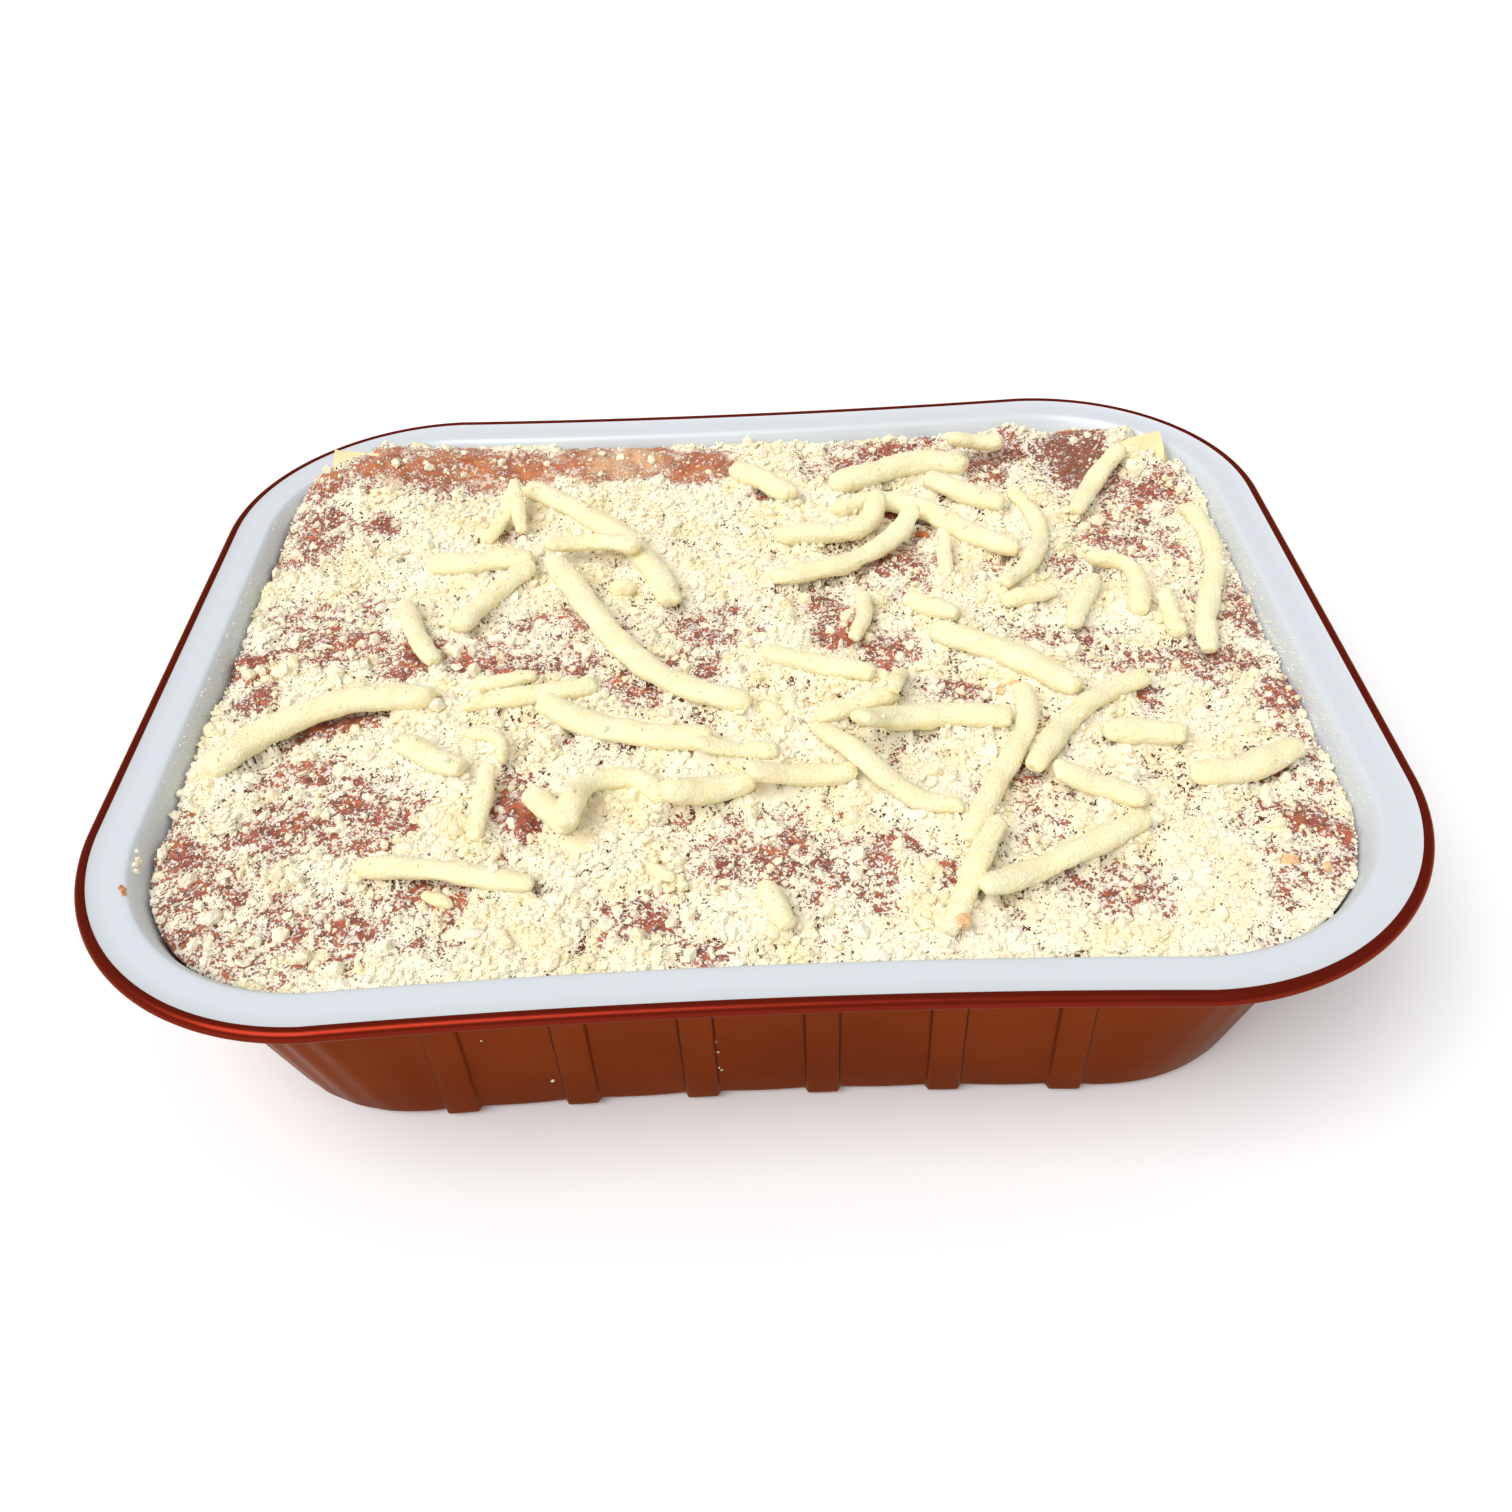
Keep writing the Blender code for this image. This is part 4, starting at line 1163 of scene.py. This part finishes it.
def rounded_bar(x, y, heading, length, width):
    """A short round bar that lies on the food."""
    start_clean()
    bpy.ops.mesh.primitive_cylinder_add(vertices=8, radius=width / 2 * MM, depth=length * MM)
    bar = bpy.context.object
    bpy.ops.object.mode_set(mode="EDIT")
    bpy.ops.mesh.select_all(action="SELECT")
    bpy.ops.transform.rotate(value=pi / 2, orient_axis="Y", center_override=(0, 0, 0))
    bpy.ops.transform.rotate(value=-radians(heading), orient_axis="Z", center_override=(0, 0, 0))
    bpy.ops.transform.translate(value=Vector((x, y, resting_height(x, y) + width * 0.22)) * MM)
    bpy.ops.object.mode_set(mode="OBJECT")
    rounded = bar.modifiers.new("rounded", "SUBSURF")
    rounded.levels = SMOOTH_STEPS
    rounded.render_levels = SMOOTH_STEPS
    push = bar.modifiers.new("push", "DISPLACE")
    push.texture = fine_waves
    push.texture_coords = "LOCAL"
    push.strength = 0.4 * MM
    finish_modifiers(bar)
    return bar


bars = [rounded_bar(*scrap) for scrap in SCRAPS]
start_clean()
for bar in bars:
    bar.select_set(True)
bpy.context.view_layer.objects.active = bars[0]
bpy.ops.object.join()
bpy.ops.object.shade_smooth()
finish_piece(bars[0], "mozzarella_scraps", mozzarella)

# %% [markdown]
# ## Small stains
#
# A few small things make the meal this one and no other: crumbs that took up oil from the sauce, bits of
# carrot, specks of herb and a smear of sauce on the flange. They are single grains at places read from
# the real meal, each kind with a plain material of two tones.

# %% Oily crumbs, carrot, herb and the smear on the flange
OILY_CRUMBS = (
    (35, -12, 0.8), (62, -44, 0.9), (66, -45, 0.7), (23, -53, 0.9), (68.4, 45.8, 1.0), (33, -13.5, 0.6),
)
CARROT_BITS = ((27, 26, 0.9), (27.6, 24.8, 0.7), (3.5, 7.2, 0.3))
HERB_SPECKS = ((3, 7, 0.4), (-30, 44, 0.25))
FLANGE_SMEAR = (
    (-73.0, -42.7, 0.3, 34.3), (-72.8, -43.1, 0.42, 34.3), (-72.5, -43.6, 0.36, 34.3),
    (-72.2, -44.1, 0.25, 34.3),
)


def plain_finish(name, base, shade, roughness):
    """Two tones in soft clouds."""
    finish = Finish(name, Roughness=roughness)
    cloud = finish.noise(0.8, 2)
    return finish.feed(
        Base_Color=finish.mix(cloud.between(0.35, 0.65), base, shade),
        Normal=finish.bump(cloud, 0.4, 0.3),
    )


def lay_spots(name, spots, flatness, material, seed):
    """Grains at chosen places: x, y and size, with a height where it isn't the food's."""
    draw = np.random.default_rng(seed)
    centres = []
    for x, y, _, *height in spots:
        centres.append((x, y, height[0] if height else resting_height(x, y)))
    sizes = np.array([spot[2] for spot in spots])
    shape = grain_shape(1, 0.2, seed)
    lay_grains(name, shape, np.array(centres), sizes, flatness, draw, material)


oily = plain_finish("oily_crumb", colour(240, 206, 156), colour(228, 172, 116), 0.5)
lay_spots("oily_crumbs", OILY_CRUMBS, 1, oily, 41)
carrot = plain_finish("carrot", colour(212, 128, 66), colour(190, 104, 48), 0.45)
lay_spots("carrot_bit", CARROT_BITS, 0.6, carrot, 42)
herb = plain_finish("herb", colour(80, 100, 50), colour(60, 80, 40), 0.6)
lay_spots("herb_speck", HERB_SPECKS, 0.5, herb, 43)
smear = plain_finish("sauce_smear", colour(206, 132, 62), colour(186, 104, 48), 0.35)
lay_spots("flange_smear", FLANGE_SMEAR, 0.35, smear, 44)

# %% [markdown]
# ## Stray cheese on the tray
#
# Some cheese missed the food: four crumbs on the left end's inner wall, a few specks on the outside of
# the front wall, and a fine dust on the inner walls of both ends, densest low down. The crumbs and specks
# are placed one by one, and the dust is drawn at random along the tapering wall.

# %% Stray cheese on the tray
STRAY_CRUMBS = (
    (-73.5, -36.3, 0.45, 33.4), (-73.2, -37.6, 0.6, 33.0), (-72.6, -39.4, 0.4, 33.2),
    (-72.8, -38.6, 0.35, 33.6), (-5.3, -54.35, 0.22, 16.1), (-5.1, -53.75, 0.16, 13.3),
    (-5.5, -53.55, 0.18, 12.5), (-5.2, -52.65, 0.2, 8.8), (-4.9, -52.55, 0.16, 8.1),
    (-32.0, -55.85, 0.18, 20.0), (-25.6, -52.85, 0.24, 7.7),
)
WALL_DUST = int(900 * grain_share)
lay_spots("stray_crumbs", STRAY_CRUMBS, 1, loose_cheese, 45)
draw = np.random.default_rng(46)
side = draw.choice((-1, 1), WALL_DUST)
ahead = draw.normal(0, 22, WALL_DUST).clip(-36, 36)
level = 31.2 + 2.8 * draw.uniform(0, 1, WALL_DUST) ** 1.7
across = side * (wall_size(HEIGHT)[0] - END_TAPER * (HEIGHT - level) / HEIGHT)
dust = np.stack([across, ahead, level], 1)
size = draw.uniform(0.07, 0.17, WALL_DUST)
lay_grains("wall_dust", grain_shape(0, 0.2, 46), dust, size, 1, draw, loose_cheese)

# %% [markdown]
# ## Floor
#
# The photo has a plain white ground. A floor lit only by the lamp would come out grey, so it also glows a
# little by itself. It belongs to the stage and not to the meal.

# %% Floor
start_clean()
bpy.ops.mesh.primitive_plane_add(size=6)
floor = bpy.context.object
floor.name = "floor"
floor_finish = Finish("floor_white", Roughness=0.9, Emission_Strength=0.08)
floor_finish.shader.inputs["Base Color"].default_value = (0.97, 0.97, 0.97, 1)
floor_finish.shader.inputs["Emission Color"].default_value = (1, 1, 1, 1)
floor.data.materials.append(floor_finish.material)
print("floor:", [round(side, 1) for side in floor.dimensions])

# %% [markdown]
# ## Light
#
# The photo's light is soft and comes from the upper left in front. A sun as wide as a large soft box
# gives soft shadows of one direction, and a white world around it fills them.

# %% Lights
KEY_FROM = (-0.42, -0.38, 0.82)
KEY_STRENGTH = 2.25
KEY_WIDTH = 45
STUDIO_STRENGTH = 0.55

lamp = bpy.data.lights.new("key", "SUN")
lamp.energy = KEY_STRENGTH
lamp.angle = radians(KEY_WIDTH)
key = bpy.data.objects.new("key", lamp)
bpy.context.scene.collection.objects.link(key)
key.rotation_mode = "QUATERNION"
key.rotation_quaternion = Vector(KEY_FROM).to_track_quat("Z", "Y")
world = bpy.data.worlds.new("studio")
world.use_nodes = True
world.node_tree.nodes["Background"].inputs["Color"].default_value = (1, 1, 1, 1)
world.node_tree.nodes["Background"].inputs["Strength"].default_value = STUDIO_STRENGTH
bpy.context.scene.world = world
bpy.context.scene.view_settings.view_transform = "Standard"
print("key light:", lamp.energy, "world:", STUDIO_STRENGTH)

# %% [markdown]
# ## Camera
#
# The camera's place, aim, lens and slight roll were worked out from the tray's own rim, bead, wall and
# base in the photo, so that the finished meal covers the real one.

# %% Camera
CAMERA_PLACE = (1.968, -157.407, 151.513)
CAMERA_AIM = (0.859, -24.933, HEIGHT)
CAMERA_ROLL = 2.691
CAMERA_LENS = 33.80
view = bpy.data.cameras.new("photo_view")
view.sensor_width = 36.0
view.lens = CAMERA_LENS
view.clip_start, view.clip_end = 0.01, 20
camera = bpy.data.objects.new("photo_view", view)
bpy.context.scene.collection.objects.link(camera)
camera.location = Vector(CAMERA_PLACE) * MM
camera.rotation_mode = "QUATERNION"
aim = Vector(CAMERA_AIM) - Vector(CAMERA_PLACE)
camera.rotation_quaternion = aim.to_track_quat("-Z", "Y") @ Quaternion((0, 0, 1), radians(-CAMERA_ROLL))
bpy.context.scene.camera = camera
print("camera at", CAMERA_PLACE, "with a lens of", CAMERA_LENS)
